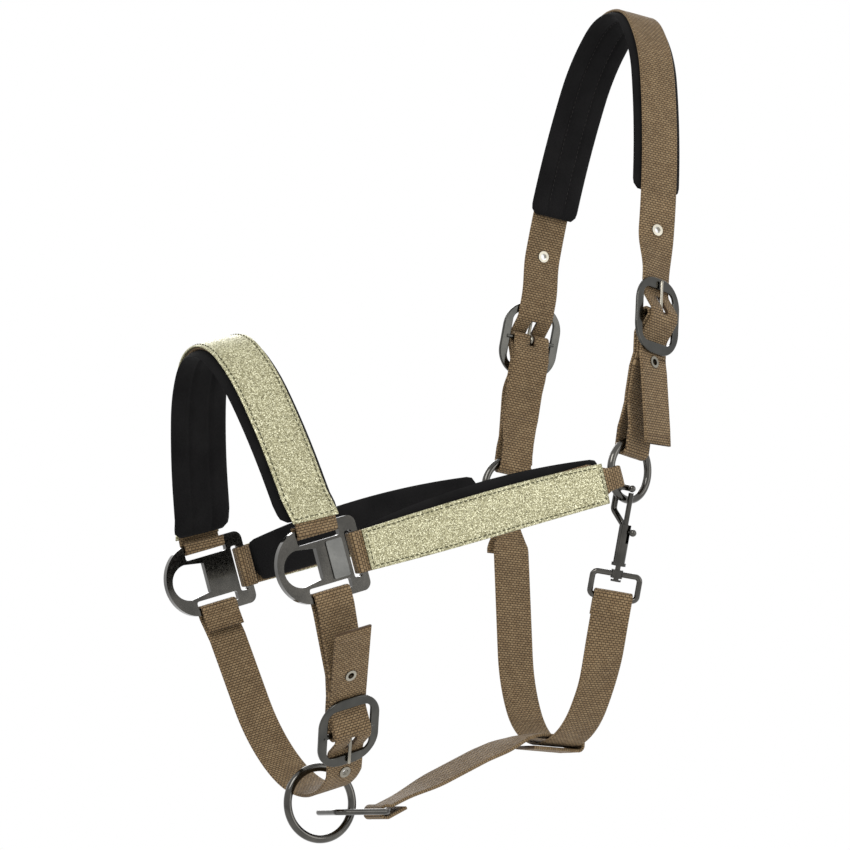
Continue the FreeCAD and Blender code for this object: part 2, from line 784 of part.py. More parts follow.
def chin_strap():
    solid = strap(across_u(stations(CHIN, chin_line(), 24.5)))
    solid = solid.cut(tongue_slot(chin_buckle_frame_axes()))
    for spot in chin_eyelet_spots():
        solid = solid.cut(eyelet_hole(spot))
    return solid


def chin_eyelet_spots():
    """The free eyelet before the buckle and the one on the tail."""
    spots = []
    buckle = chin_buckle_frame_axes()
    spots.append(Frame(buckle.at(STRAP_IN, 30.5), buckle.a, buckle.b))
    tail_from = CHIN.at(*in_plane((STRAP_IN, -25.0), CHIN_B, CHIN_P, CHIN_Q))
    tail_to = CHIN.at(-93.0, -27.0)
    along = (tail_to - tail_from).normalize()
    place = tail_from + along * CHIN_EYELET_UP
    spots.append(Frame(place, along.cross(FIT_U), along))
    return spots


def chin_buckle_strap():
    y = FITTING_HALF_SPAN
    high = CHIN_BAR_S + SLOT_BAR / 2 + FOLD_GAP + WEB_T / 2
    fold = [in_plane(c, CHIN_B, CHIN_P, CHIN_Q) for c in bar_fold()]
    top = rounded([(-71.2, -50.0, 0), (-y - BAR_O, -12.0, 12), (-y - BAR_O, high, 1.6), (-y + BAR_O, high, 1.6),
                   (-y + BAR_O, -12.0, 12), (-67.4, -50.0, 0)])
    path = fold + top[::-1]
    solid = strap(across_u(stations(CHIN, path, 24.5)), closed=True)
    return solid.cut(loop_slot(chin_buckle_frame_axes()))


CHIN_RING_MID = Vector(-213.2, 0, -486.0)


def chin_ring():
    return torus_about(CHIN_RING_MID, Y_AXIS, CHIN_RING_R, CHIN_RING_WIRE)


# --- jaw link and jaw strap, in the middle plane: a to the rear, b up ---

JAW = Frame(Vector(0, 0, 0), X_AXIS, Z_AXIS)


def jaw_link():
    corners = []
    for (x, z), side in ((LINK_REAR, -1), (LINK_REAR, 1), (LINK_FRONT, 1), (LINK_FRONT, -1)):
        corners.append((Vector(x, side * LINK_HALF_W, z), 4.0))
    return wire_tube(corners, LINK_WIRE, closed=True)


def throat_low():
    return THROAT.at(0, -THROAT_DROP)


def jaw_path():
    low = throat_low()
    slant = rad(-THROAT_LEAN)

    def near_throat(da, db):
        return (low.x + da * math.cos(slant) - db * math.sin(slant), low.z + da * math.sin(slant)
                + db * math.cos(slant))
    half, over, under = 14.4, 5.0, -3.0
    x, z = LINK_REAR
    r = LINK_WIRE + 0.7 + WEB_T / 2
    corners = [(x + 13.0, z + 2.4, 0), (x + 1.0, z - r, 3.0), (x - r, z - r, 3.2), (x - r, z + r, 3.2),
               (x + 3.5, z + r, 4), (-144.6, -475.6, 60), (-104.9, -456.9, 60)]
    for da, db, turn in ((-half - 9, over - 2.5, 8), (-half, over, 6), (half, over, 3.4), (half, under, 3.4),
                         (-half - 6, under, 0)):
        corners.append(near_throat(da, db) + (turn,))
    return rounded(corners)


def rise(x, start, length):
    f = min(1.0, max(0.0, (x - start) / length))
    return f * f * (3 - 2 * f)


def jaw_strap():
    """The strap rolls a little to the near side between its two ends."""
    line = []
    for place, across, width in stations(JAW, jaw_path(), LINK_HALF_W * 2 - 5.6):
        roll = rad(JAW_ROLL * rise(place.x, -162.0, 28.0) * rise(-place.x, 72.0, 22.0))
        line.append((place, Vector(0, -math.cos(roll), -math.sin(roll)), width))
    return strap(line)


# --- the throat strap ---

THROAT = Frame(CROWN_MID, Y_AXIS, lean(THROAT_LEAN))


def eye_frame():
    """At the middle of the snap eye's top bar: a outward, b up the snap, c along the bar."""
    up = snap_axis()
    out = turned(Vector(0, -1, 0), Z_AXIS, EYE_TWIST)
    place = snap_frame().at(0, EYE_AT)
    out = (out - up * out.dot(up)).normalize()
    return Frame(place, out, up)


def throat_strap():
    half = Trail(0, -THROAT_DROP, 0).arc(48, 56).arc(100, 23).points
    past, off = ring_fold(RING_LOOP_W)
    turn_at = -(RING_R - past)
    y = RING_HALF_SPAN
    end = rounded([half[-1] + (0,), (y - off - 1.0, -34.0, 10), (y - off, -24.0, 10), (y - off, turn_at, off),
                   (y + off, turn_at, off), (y + off, -26.0, 8), (y + off - 2.2, -42.0, 0)])

    def narrow(a, b):
        return WEB_W - (WEB_W - RING_LOOP_W) * min(1.0, max(0.0, (b + 38.0) / 13.0))
    far = stations(THROAT, half[:-1] + end, narrow)
    near_half = Trail(0, -THROAT_DROP, 0).arc(48, 56).arc(130, 5).points
    near = stations(THROAT, mirrored(near_half))
    eye = eye_frame()
    fold = EYE_WIRE + 0.6 + WEB_T / 2
    corners = [(fold, -EYE_HEIGHT - 14.0, 0), (fold, -EYE_HEIGHT + fold, fold), (-fold, -EYE_HEIGHT + fold, fold),
               (-fold, -EYE_HEIGHT - 12.0, 0)]
    loop = [(s[0], s[1] * -1, s[2]) for s in stations(eye, rounded(corners), EYE_HALF_W * 2 - 2 * EYE_WIRE - 1.6)]
    near_part = near + curved(near, loop, 9) + loop
    near_part.reverse()
    return strap(near_part + far[1:])


# --- the snap ---


def snap_axis():
    return Vector(math.sin(rad(SNAP_FORE)), -math.sin(rad(SNAP_LEAN)), math.cos(rad(SNAP_LEAN))).normalize()


def snap_frame():
    """On the bolt's axis beside the ring's wire: a outward, b up the snap."""
    ring = side_frame(-1)
    spot = turned(ring.b * -1, ring.a, -HOOK_ANGLE)
    if spot.x > (ring.b * -1).x:
        spot = turned(ring.b * -1, ring.a, HOOK_ANGLE)
    wire = ring.o + spot * RING_R
    up = snap_axis()
    out = (ring.a - up * ring.a.dot(up)).normalize()
    return Frame(wire + out * HOOK_GAP, out, up)


def snap_body():
    """Hook, barrel and the swivel stem with its riveted end."""
    belly = -2 * HOOK_GAP - 1.5
    top = HOOK_GAP + 2.0
    hook = wire_tube([(Vector(0, top, 0), 1.0), (Vector(belly, top, 0), 5.0), (Vector(belly, -7.5, 0), 4.0),
                      (Vector(0, BARREL_TOP - 2, 0), 1.0)], HOOK_WIRE)
    tip = Part.makeSphere(HOOK_WIRE + 0.3, Vector(0, top, 0))
    down = Vector(0, -1, 0)
    barrel = Part.makeCylinder(BARREL_R, BARREL_TOP - BARREL_LOW, Vector(0, BARREL_TOP, 0), down)
    bore = Part.makeCylinder(1.66, 15, Vector(0, BARREL_TOP + 0.1, 0), down)
    slot = Part.makeBox(8, 11.5, 2.6, Vector(0, BARREL_TOP - 11, -1.3))
    collar = Part.makeCylinder(4.4, 2.0, Vector(0, BARREL_LOW, 0), down)
    stem = Part.makeCylinder(1.6, BARREL_LOW - EYE_AT + 4.0, Vector(0, BARREL_LOW, 0), down)
    dome = Part.makeCylinder(3.2, 1.2, Vector(0, EYE_AT - 3.4, 0), down)
    solid = hook.fuse([tip]).cut(Part.makeCylinder(BARREL_R - 1.2, 9, Vector(0, BARREL_TOP, 0), Vector(0, 1, 0)))
    solid = solid.fuse([barrel, collar, stem, dome]).cut(bore).cut(slot)
    return snap_frame().put(solid)


def snap_bolt():
    """The sliding rod with its thumb knob."""
    top = HOOK_GAP + 2.0 - HOOK_WIRE - 0.3 - 0.35
    low = BARREL_TOP - 6.0
    rod = Part.makeCylinder(1.6, top - low, Vector(0, low, 0), Vector(0, 1, 0))
    neck = Part.makeCylinder(0.9, 4.6, Vector(1.0, BARREL_TOP - 4.0, 0), X_AXIS)
    knob = Part.makeSphere(2.2, Vector(6.6, BARREL_TOP - 4.0, 0))
    return snap_frame().put(rod.fuse([neck, knob]))


def snap_eye():
    """The square eye with the boss that the snap's stem turns in."""
    eye = eye_frame()
    corners = [(Vector(0, 0, -EYE_HALF_W), 3.0), (Vector(0, 0, EYE_HALF_W), 3.0),
               (Vector(0, -EYE_HEIGHT, EYE_HALF_W), 3.0), (Vector(0, -EYE_HEIGHT, -EYE_HALF_W), 3.0)]
    loop = wire_tube(corners, EYE_WIRE, closed=True)
    boss = Part.makeCylinder(3.6, 5.2, Vector(0, -2.6, 0), Vector(0, 1, 0))
    bore = Part.makeCylinder(1.66, 12, Vector(0, -6, 0), Vector(0, 1, 0))
    return eye.put(loop.fuse(boss).cut(bore))


def save(node, shape):
    if not shape.isValid():
        print("not valid:", node)
    solids = len(shape.Solids)
    box = shape.BoundBox
    print("%-22s %d %9.1f  x %.1f %.1f  y %.1f %.1f  z %.1f %.1f" % (
        node, solids, shape.Volume, box.XMin, box.XMax, box.YMin, box.YMax, box.ZMin, box.ZMax))
    shape.exportStep("parts/%s.step" % node)


def main():
    os.makedirs("parts", exist_ok=True)
    save("crown_strap", crown_strap())
    save("crown_pad", crown_pad())
    save("crown_eyelets", crown_eyelets())
    for name, side in (("near", -1), ("far", 1)):
        save(name + "_buckle_frame", buckle_frame(buckle_at(side)))
        save(name + "_buckle_tongue", buckle_tongue(buckle_at(side)))
        save(name + "_buckle_strap", crown_buckle_strap(side))
        save(name + "_cheek_ring", cheek_ring(side))
        save(name + "_cheek_strap", cheek_strap(side))
        save(name + "_cheek_pad", cheek_pad(side))
        save(name + "_cheek_overlay", cheek_overlay(side))
        save(name + "_nose_fitting", nose_fitting(side))
        save(name + "_fitting_badge", fitting_badge(side))
    save("noseband_strap", noseband_strap())
    save("noseband_pad", noseband_pad())
    save("noseband_overlay", noseband_overlay())
    save("chin_buckle_frame", buckle_frame(chin_buckle_frame_axes()))
    save("chin_buckle_tongue", buckle_tongue(chin_buckle_frame_axes()))
    save("chin_buckle_strap", chin_buckle_strap())
    save("chin_strap", chin_strap())
    save("chin_eyelets", Part.makeCompound([eyelet(spot) for spot in chin_eyelet_spots()]))
    save("chin_ring", chin_ring())
    save("jaw_link", jaw_link())
    save("jaw_strap", jaw_strap())
    save("throat_strap", throat_strap())
    save("snap_eye", snap_eye())
    save("snap_body", snap_body())
    save("snap_bolt", snap_bolt())


main()
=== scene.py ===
import math

import bmesh
import bpy
from mathutils import Matrix, Vector


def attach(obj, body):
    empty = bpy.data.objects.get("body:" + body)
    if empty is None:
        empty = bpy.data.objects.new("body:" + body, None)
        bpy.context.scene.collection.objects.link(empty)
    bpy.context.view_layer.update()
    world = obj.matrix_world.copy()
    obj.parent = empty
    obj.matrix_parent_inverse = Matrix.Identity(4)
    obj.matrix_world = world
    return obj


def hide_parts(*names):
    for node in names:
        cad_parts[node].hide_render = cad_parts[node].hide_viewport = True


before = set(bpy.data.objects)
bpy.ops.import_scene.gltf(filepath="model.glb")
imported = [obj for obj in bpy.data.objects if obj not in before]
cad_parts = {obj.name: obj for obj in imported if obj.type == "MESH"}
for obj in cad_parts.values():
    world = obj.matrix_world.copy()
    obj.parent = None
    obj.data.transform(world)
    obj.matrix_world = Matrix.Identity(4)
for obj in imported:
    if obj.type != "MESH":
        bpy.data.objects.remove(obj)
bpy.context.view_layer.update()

MM = 0.001

# Driving sizes in millimetres, in the part's own frame; they are the part's own values.
# A dict is keyed by side: 1 is the far side, -1 the near side.

# --- webbing, pads and overlays ---
WEB_W, WEB_T = 25.0, 2.0
NARROW_WEB_W = 24.5             # cheek and chin straps
NOSE_WEB_W = 27.0
FOLD_GAP = 0.3                  # air between a fold and the metal it goes round
FOLD_R = 1.6                    # a tight fold's radius
PAD_T = 5.0
PAD_GAP = 0.2                   # air between a pad and its strap
CROWN_PAD_W, NOSE_PAD_W = 33.0, 38.0
NOSE_OVERLAY_T, CHEEK_OVERLAY_T = 1.2, 1.1
NOSE_OVERLAY_W = 30.0

# --- planes of the straps: leans from the vertical, in degrees ---
CROWN_LEAN, THROAT_LEAN = 8.5, 3.7
NOSE_LEAN, CHIN_LEAN = -13.5, -16.5
CHEEK_RISE = 16.5
CROWN_RISE, CHEEK_LENGTH = 290.0, 199.0
RING_HALF_SPAN, FITTING_HALF_SPAN = 74.0, 76.0
NEAR_TWIST = 21.0
NOSE_MID = (-256.3, 0, -325.0)
CHIN_MID = (-246.35, 0, -362.05)

# --- rings, fittings and the straps round them ---
RING_R, RING_WIRE, RING_CLEAR = 17.6, 2.35, 0.8
RING_LOOP_W, TOP_LOOP_W = 13.0, 22.0
NEAR_RING_CLEAR, NEAR_LOOP_SLACK = 1.8, 0.8
REAR_SLOT_W, PLATE_T, SLOT_BAR = 5.2, 4.0, 4.0
BAR_O = PLATE_T / 2 + FOLD_GAP + WEB_T / 2
WEB_O, PAD_O = 3.3, -0.35       # cheek webbing and pad from the fitting's middle plane
OVERLAY_O = WEB_O + 1.35 + CHEEK_OVERLAY_T / 2
CHEEK_PAD_ENDS = (13.0, 175.5)
OVERLAY_ENDS = {1: (10.0, 172.0), -1: (10.0, 174.6)}
BAR_S, CHIN_BAR_S = -3.7, -5.8  # the slots' outer bars in the noseband's and the chin's planes

# --- buckles and eyelets ---
BUCKLE_OUT = {1: -1.0, -1: 6.5}
BUCKLE_UP, BUCKLE_TILT = 95.0, 6.0
LEGS_MID = {1: -2.4, -1: 1.4}
LEG_HALF = 1.15                 # half the distance between a buckle strap's legs
TAIL = {1: (4.9, 8.2, 8.4), -1: (8.2, 11.7, 12.5)}
TAIL_DRIFT = 6.0
STRAP_IN, STRAP_OVER, SLOPE_FROM, SLOPE_TO = -2.3, 5.4, 2.5, 14.0
LEG_OUT, LEG_IN, BAR_FOLD_R = -4.6, -7.0, 2.85
EYELET_ABOVE, EYELET_BELOW = 149.0, 66.5
EYELET_HOLE_R, EYELET_DEPTH = 2.3, 9.0
PAD_END = 173.0                 # the crown pad ends at this height above the rings
CHIN_B = (-54.0, -86.0)
CHIN_SLANT = 34.0
CHIN_LOW = -121.5
CHIN_TAIL_END = (-93.0, -27.0)
CHIN_EYELET_UP = 14.0
CHIN_EYELET_IN = 30.5

# --- throat, snap, jaw and link ---
THROAT_DROP = 163.4
EYE_WIRE, EYE_HALF_W, EYE_HEIGHT, EYE_TWIST, EYE_AT = 1.75, 14.3, 14.6, -24.0, -45.0
HOOK_ANGLE, HOOK_GAP, SNAP_LEAN, SNAP_FORE = 6.0, 4.9, 12.0, 5.0
LINK_WIRE, LINK_HALF_W = 1.8, 14.6
LINK_REAR = (-174.0, -491.0)
JAW_ROLL = 15.0                 # the jaw strap's roll in the middle of its length
JAW_ROLL_FROM, JAW_ROLL_TO = -162.0, -72.0

# --- how finely things are drawn ---
ARC_STEP = 3.0                  # degrees of an arc between two stations
RUN_STEP = 3.0                  # millimetres of a run between two stations
CHEEK_STEPS = 60
STITCH_LIFT = 1.02              # a row of stitches above a strap's middle
STITCH_INSET = 2.5
X, Y, Z = Vector((1, 0, 0)), Vector((0, 1, 0)), Vector((0, 0, 1))


def rad(d):
    return math.radians(d)


def turned(v, axis, d):
    return Matrix.Rotation(rad(d), 3, axis) @ Vector(v)


def lean(d):
    return Vector((math.sin(rad(d)), 0, math.cos(rad(d))))


class Plane:
    """An origin with two directions a and b in a plane, and its normal c."""

    def __init__(self, o, a, b):
        self.o = Vector(o)
        self.a = Vector(a).normalized()
        self.b = (Vector(b) - self.a * self.a.dot(b)).normalized()
        self.c = self.a.cross(self.b)

    def at(self, a, b, c=0.0):
        return self.o + self.a * a + self.b * b + self.c * c

    def tilted(self, a, b, d):
        return Plane(self.at(a, b), turned(self.a, self.c, d), turned(self.b, self.c, d))

    def matrix(self):
        m = Matrix((self.a, self.b, self.c)).transposed().to_4x4()
        m.translation = self.o
        return m


class Trail:
    """A plane path of straight stretches and arcs."""

    def __init__(self, a, b, heading):
        self.points, self.heading = [(a, b)], heading

    def line(self, length):
        a, b = self.points[-1]
        n = max(1, int(length / RUN_STEP))
        for k in range(1, n + 1):
            d = length * k / n
            self.points.append((a + d * math.cos(rad(self.heading)), b + d * math.sin(rad(self.heading))))
        return self

    def arc(self, radius, turn):
        a, b = self.points[-1]
        side = 1.0 if turn > 0 else -1.0
        ca = a - side * radius * math.sin(rad(self.heading))
        cb = b + side * radius * math.cos(rad(self.heading))
        steps = max(2, int(math.ceil(max(abs(turn) / ARC_STEP, radius * rad(abs(turn)) / RUN_STEP))))
        for k in range(1, steps + 1):
            h = self.heading + turn * k / steps
            spoke = side * radius
            self.points.append((ca + spoke * math.sin(rad(h)), cb - spoke * math.cos(rad(h))))
        self.heading += turn
        return self


def rounded(corners, step=6.0):
    """A polyline's points with its corners (a, b, radius) rounded and long runs divided."""
    out = []
    last = len(corners) - 1
    for i, (a, b, r) in enumerate(corners):
        here = Vector((a, b, 0))
        if i in (0, last) or r == 0:
            out.append((a, b))
            continue
        to_prev = Vector((corners[i - 1][0], corners[i - 1][1], 0)) - here
        to_next = Vector((corners[i + 1][0], corners[i + 1][1], 0)) - here
        turn = math.pi - to_prev.angle(to_next)
        cut = min(r * math.tan(turn / 2), 0.49 * to_prev.length, 0.49 * to_next.length)
        radius = cut / math.tan(turn / 2)
        d1, d2 = to_prev.normalized(), to_next.normalized()
        start = here + d1 * cut
        centre = here + (d1 + d2).normalized() * (radius / math.cos(turn / 2))
        spoke = start - centre
        sense = 1.0 if (here - start).cross(to_next).z > 0 else -1.0
        steps = max(2, int(math.ceil(math.degrees(turn) / step)))
        for k in range(steps + 1):
            p = centre + turned(spoke, Z, sense * math.degrees(turn) * k / steps)
            out.append((p.x, p.y))
    return divided(out)


def divided(points, most=RUN_STEP):
    out = [points[0]]
    for p, q in zip(points, points[1:]):
        n = max(1, int(math.hypot(q[0] - p[0], q[1] - p[1]) / most))
        out += [(p[0] + (q[0] - p[0]) * k / n, p[1] + (q[1] - p[1]) * k / n) for k in range(1, n + 1)]
    return out


def mirrored(points):
    return [(-a, b) for a, b in points]


def parallel(points, offset):
    out = []
    for i, (a, b) in enumerate(points):
        p0, p1 = points[max(i - 1, 0)], points[min(i + 1, len(points) - 1)]
        d = Vector((p1[0] - p0[0], p1[1] - p0[1])).normalized()
        out.append((a - d.y * offset, b + d.x * offset))
    return out


def stations(plane, points, width=WEB_W, across=None):
    size = width if callable(width) else (lambda a, b: width)
    return [(plane.at(a, b), Vector(across or plane.c), size(a, b)) for a, b in points]


def blended(first, last, count):
    """Stations on a smooth curve from one station to another; each is (station, direction)."""
    (s0, d0), (s1, d1) = first, last
    reach = (s1[0] - s0[0]).length
    out = []
    for k in range(1, count + 1):
        f = k / (count + 1.0)
        h00, h10 = 2 * f ** 3 - 3 * f ** 2 + 1, f ** 3 - 2 * f ** 2 + f
        h01, h11 = -2 * f ** 3 + 3 * f ** 2, f ** 3 - f ** 2
        p = s0[0] * h00 + d0 * (reach * h10) + s1[0] * h01 + d1 * (reach * h11)
        e = f * f * (3 - 2 * f)
        out.append((p, (s0[1] * (1 - e) + s1[1] * e).normalized(), s0[2] * (1 - e) + s1[2] * e))
    return out


def ease(f):
    f = min(1.0, max(0.0, f))
    return f * f * (3 - 2 * f)


def heading(a, b):
    return (b[0] - a[0]).normalized()


# --- meshes ---

def finish_mesh(name, verts, faces, uvs, material, body, nodes=(), smooth=True):
    mesh = bpy.data.meshes.new(name)
    mesh.from_pydata([tuple(v * MM for v in p) for p in verts], [], faces)
    if uvs:
        layer = mesh.uv_layers.new(name="weave")
        for poly in mesh.polygons:
            for li, uv in zip(poly.loop_indices, uvs[poly.index]):
                layer.data[li].uv = uv
    bm = bmesh.new()
    bm.from_mesh(mesh)
    bmesh.ops.remove_doubles(bm, verts=bm.verts, dist=1e-7)
    bmesh.ops.recalc_face_normals(bm, faces=bm.faces)
    bm.to_mesh(mesh)
    bm.free()
    for poly in mesh.polygons:
        poly.use_smooth = smooth
    mesh.materials.append(material)
    obj = bpy.data.objects.new(name, mesh)
    bpy.context.scene.collection.objects.link(obj)
    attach(obj, body)
    if nodes:
        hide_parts(*nodes)
    return obj


def framed(line, closed=False):
    """(place, along, across, normal, width, distance) for each station."""
    clean = [line[0]]
    for s in line[1:]:
        if (s[0] - clean[-1][0]).length > 0.05:
            clean.append(s)
    if closed and (clean[0][0] - clean[-1][0]).length < 0.05:
        clean.pop()
    out, run, n = [], 0.0, len(clean)
    for i, (p, across, w) in enumerate(clean):
        if closed:
            before, after = clean[i - 1][0], clean[(i + 1) % n][0]
        else:
            before, after = clean[max(i - 1, 0)][0], clean[min(i + 1, n - 1)][0]
        along = (after - before).normalized()
        c = (across - along * across.dot(along)).normalized()
        if i:
            run += (p - clean[i - 1][0]).length
        out.append((p, along, c, along.cross(c), w, run))
    return out


def web_section(w, t, f, total):
    """Woven tape: nearly flat faces and round selvedges."""
    h, x = t / 2, w / 2
    top = [(-x + 0.35, h * 0.72), (-x + 0.9, h * 1.0), (-x + 2.2, h * 0.93), (-x / 2, h * 0.97), (0, h),
           (x / 2, h * 0.97), (x - 2.2, h * 0.93), (x - 0.9, h * 1.0), (x - 0.35, h * 0.72)]
    return [(-x, 0.0)] + top + [(x, 0.0)] + [(a, -b) for a, b in reversed(top)]


def sweep(name, line, thickness, material, body, nodes=(), closed=False, section=web_section):
    rows = framed(line, closed)
    total = rows[-1][5]
    rings, verts, runs, across = [], [], [], []
    for p, along, c, n, w, run in rows:
        pts = section(w, thickness, run, total)
        rings.append([len(verts) + k for k in range(len(pts))])
        verts += [p + c * x + n * h for x, h in pts]
        runs.append(run)
        across.append([q[0] for q in pts])
    faces, uvs = [], []
    m = len(rings[0])
    pairs = [(i, i + 1) for i in range(len(rings) - 1)] + ([(len(rings) - 1, 0)] if closed else [])
    for i, j in pairs:
        u0, u1 = runs[i], runs[j] if j else total + RUN_STEP
        for k in range(m):
            after = (k + 1) % m
            faces.append((rings[i][k], rings[i][after], rings[j][after], rings[j][k]))
            uvs.append(((u0 * MM, across[i][k] * MM), (u0 * MM, across[i][after] * MM),
                        (u1 * MM, across[j][after] * MM), (u1 * MM, across[j][k] * MM)))
    if not closed:
        for i, flip in ((0, True), (len(rings) - 1, False)):
            order = rings[i][::-1] if flip else rings[i]
            faces.append(tuple(order))
            uvs.append([(0, 0)] * len(order))
    return finish_mesh(name, verts, faces, uvs, material, body, nodes)


def stitch_rows(name, rows, body, material, pitch=3.3, long=2.3, thick=0.33):
    """Rows of single stitches; a row is a list of (place, outward direction)."""
    verts, faces = [], []
    for row in rows:
        gone, nxt = 0.0, pitch / 2
        for (p, n), (q, m) in zip(row, row[1:]):
            d = (q - p).length
            while d > 1e-6 and nxt <= gone + d:
                f = (nxt - gone) / d
                centre = p.lerp(q, f) + n.lerp(m, f) * (thick * 0.35)
                along = (q - p).normalized()
                out = n.lerp(m, f).normalized()
                side = along.cross(out).normalized()
                base = len(verts)
                for s, r in ((-0.5, 0.25), (-0.36, 0.85), (0, 1.05), (0.36, 0.85), (0.5, 0.25)):
                    dip = -abs(s) * thick * 1.2
                    for k in range(6):
                        a = k * math.pi / 3
                        verts.append(centre + along * (s * long) + out * (dip + thick * r * math.sin(a))
                                     + side * (thick * r * math.cos(a)))
                for i in range(4):
                    low = base + i * 6
                    for k in range(6):
                        after = (k + 1) % 6
                        faces.append((low + k, low + after, low + 6 + after, low + 6 + k))
                faces.append(tuple(base + k for k in range(5, -1, -1)))
                faces.append(tuple(base + 24 + k for k in range(6)))
                nxt += pitch
            gone += d
    return finish_mesh(name, verts, faces, None, material, body)


def edge_row(line, x, lift, start=0.0, end=0.0):
    """A row along a strap, x from its middle line, lift above it along its normal."""
    rows = framed(line)
    total = rows[-1][5]
    return [(p + c * x + n * lift, n * (1 if lift > 0 else -1)) for p, al, c, n, w, run in rows
            if start <= run <= total - end]


def cross_row(line, at, lift, inset=2.0):
    """A row straight across a strap at a distance along it."""
    rows = framed(line)
    for r0, r1 in zip(rows, rows[1:]):
        if r0[5] <= at <= r1[5]:
            p, al, c, n, w, run = r0
            p = p.lerp(r1[0], (at - r0[5]) / max(1e-6, r1[5] - r0[5]))
            sgn = 1 if lift > 0 else -1
            h = w / 2 - inset
            return [(p + c * x + n * lift, n * sgn) for x in (-h, -h / 2, 0, h / 2, h)]
    return []


def cut(obj, cutters):
    """Takes cutter meshes out of a piece."""
    for mesh in cutters:
        tool = bpy.data.objects.new("tool", mesh)
        bpy.context.scene.collection.objects.link(tool)
        mod = obj.modifiers.new("cut", "BOOLEAN")
        mod.object, mod.operation, mod.solver = tool, "DIFFERENCE", "EXACT"
        bpy.context.view_layer.update()
        made = bpy.data.meshes.new_from_object(obj.evaluated_get(bpy.context.evaluated_depsgraph_get()))
        obj.modifiers.clear()
        old, obj.data = obj.data, made
        bpy.data.meshes.remove(old)
        bpy.data.objects.remove(tool)
        bpy.data.meshes.remove(mesh)


def eyelet_tool(place, axis):
    """A cutter for the hole of an eyelet."""
    mesh = bpy.data.meshes.new("tool")
    bm = bmesh.new()
    r = EYELET_HOLE_R * MM
    bmesh.ops.create_cone(bm, cap_ends=True, segments=32, radius1=r, radius2=r, depth=EYELET_DEPTH * MM)
    turn = Vector(axis).to_track_quat("Z", "Y").to_matrix().to_4x4()
    bm.transform(Matrix.Translation(Vector(place) * MM) @ turn)
    bm.to_mesh(mesh)
    bm.free()
    return mesh


def box_tool(plane, lo, hi):
    mesh = bpy.data.meshes.new("tool")
    bm = bmesh.new()
    bmesh.ops.create_cube(bm, size=1.0)
    size = Vector(hi) - Vector(lo)
    mid = (Vector(hi) + Vector(lo)) / 2
    m = plane.matrix() @ Matrix.Translation(mid) @ Matrix.Diagonal((*size, 1))
    bm.transform(Matrix.Scale(MM, 4) @ m)
    bm.to_mesh(mesh)
    bm.free()
    return mesh


# --- materials ---

def material(name):
    mat = bpy.data.materials.new(name)
    mat.use_nodes = True
    tree = mat.node_tree
    return mat, tree, tree.nodes["Principled BSDF"]


def node(tree, kind, **inputs):
    made = tree.nodes.new(kind)
    for key, value in inputs.items():
        made.inputs[key.replace("_", " ")].default_value = value
    return made


def ramp(tree, source, stops):
    made = tree.nodes.new("ShaderNodeValToRGB")
    made.color_ramp.elements[0].position, made.color_ramp.elements[0].color = stops[0][0], (*stops[0][1], 1)
    made.color_ramp.elements[1].position, made.color_ramp.elements[1].color = stops[-1][0], (*stops[-1][1], 1)
    for at, colour in stops[1:-1]:
        e = made.color_ramp.elements.new(at)
        e.color = (*colour, 1)
    tree.links.new(source, made.inputs[0])
    return made


def webbing_material(name, dark, mid, light, rough=0.62):
    """Nylon tape: short bricks of yarn in ribs across the strap."""
    mat, tree, shader = material(name)
    uv = tree.nodes.new("ShaderNodeTexCoord")
    place = tree.nodes.new("ShaderNodeMapping")
    place.inputs["Rotation"].default_value = (0, 0, math.pi / 2)
    tree.links.new(uv.outputs["UV"], place.inputs[0])
    weave = tree.nodes.new("ShaderNodeTexBrick")
    weave.inputs["Scale"].default_value = 1.0
    weave.inputs["Brick Width"].default_value = 0.0024
    weave.inputs["Row Height"].default_value = 0.0015
    weave.inputs["Mortar Size"].default_value = 0.00028
    weave.inputs["Mortar Smooth"].default_value = 1.0
    weave.inputs["Bias"].default_value = 0.0
    weave.inputs["Color1"].default_value = (*mid, 1)
    weave.inputs["Color2"].default_value = (*light, 1)
    weave.inputs["Mortar"].default_value = (*dark, 1)
    tree.links.new(place.outputs[0], weave.inputs["Vector"])
    cloud = node(tree, "ShaderNodeTexNoise", Scale=60.0, Detail=5.0)
    tree.links.new(uv.outputs["Object"], cloud.inputs["Vector"])
    tone = ramp(tree, cloud.outputs[0], [(0.3, (0.82, 0.82, 0.82)), (0.7, (1.0, 1.0, 1.0))])
    mix = tree.nodes.new("ShaderNodeMix")
    mix.data_type, mix.blend_type = "RGBA", "MULTIPLY"
    mix.inputs["Factor"].default_value = 1.0
    tree.links.new(weave.outputs["Color"], mix.inputs[6])
    tree.links.new(tone.outputs[0], mix.inputs[7])
    tree.links.new(mix.outputs[2], shader.inputs["Base Color"])
    fine = node(tree, "ShaderNodeTexNoise", Scale=2600.0, Detail=2.0)
    tree.links.new(uv.outputs["Object"], fine.inputs["Vector"])
    b1 = tree.nodes.new("ShaderNodeBump")
    b1.inputs["Strength"].default_value, b1.inputs["Distance"].default_value = 1.0, 0.0006
    b1.invert = True
    tree.links.new(weave.outputs["Fac"], b1.inputs["Height"])
    b2 = tree.nodes.new("ShaderNodeBump")
    b2.inputs["Strength"].default_value, b2.inputs["Distance"].default_value = 0.35, 0.0001
    tree.links.new(fine.outputs[0], b2.inputs["Height"])
    tree.links.new(b1.outputs[0], b2.inputs["Normal"])
    tree.links.new(b2.outputs[0], shader.inputs["Normal"])
    shader.inputs["Roughness"].default_value = rough
    shader.inputs["Specular IOR Level"].default_value = 0.15
    shader.inputs["Sheen Weight"].default_value = 0.04
    shader.inputs["Sheen Roughness"].default_value = 0.4
    return mat


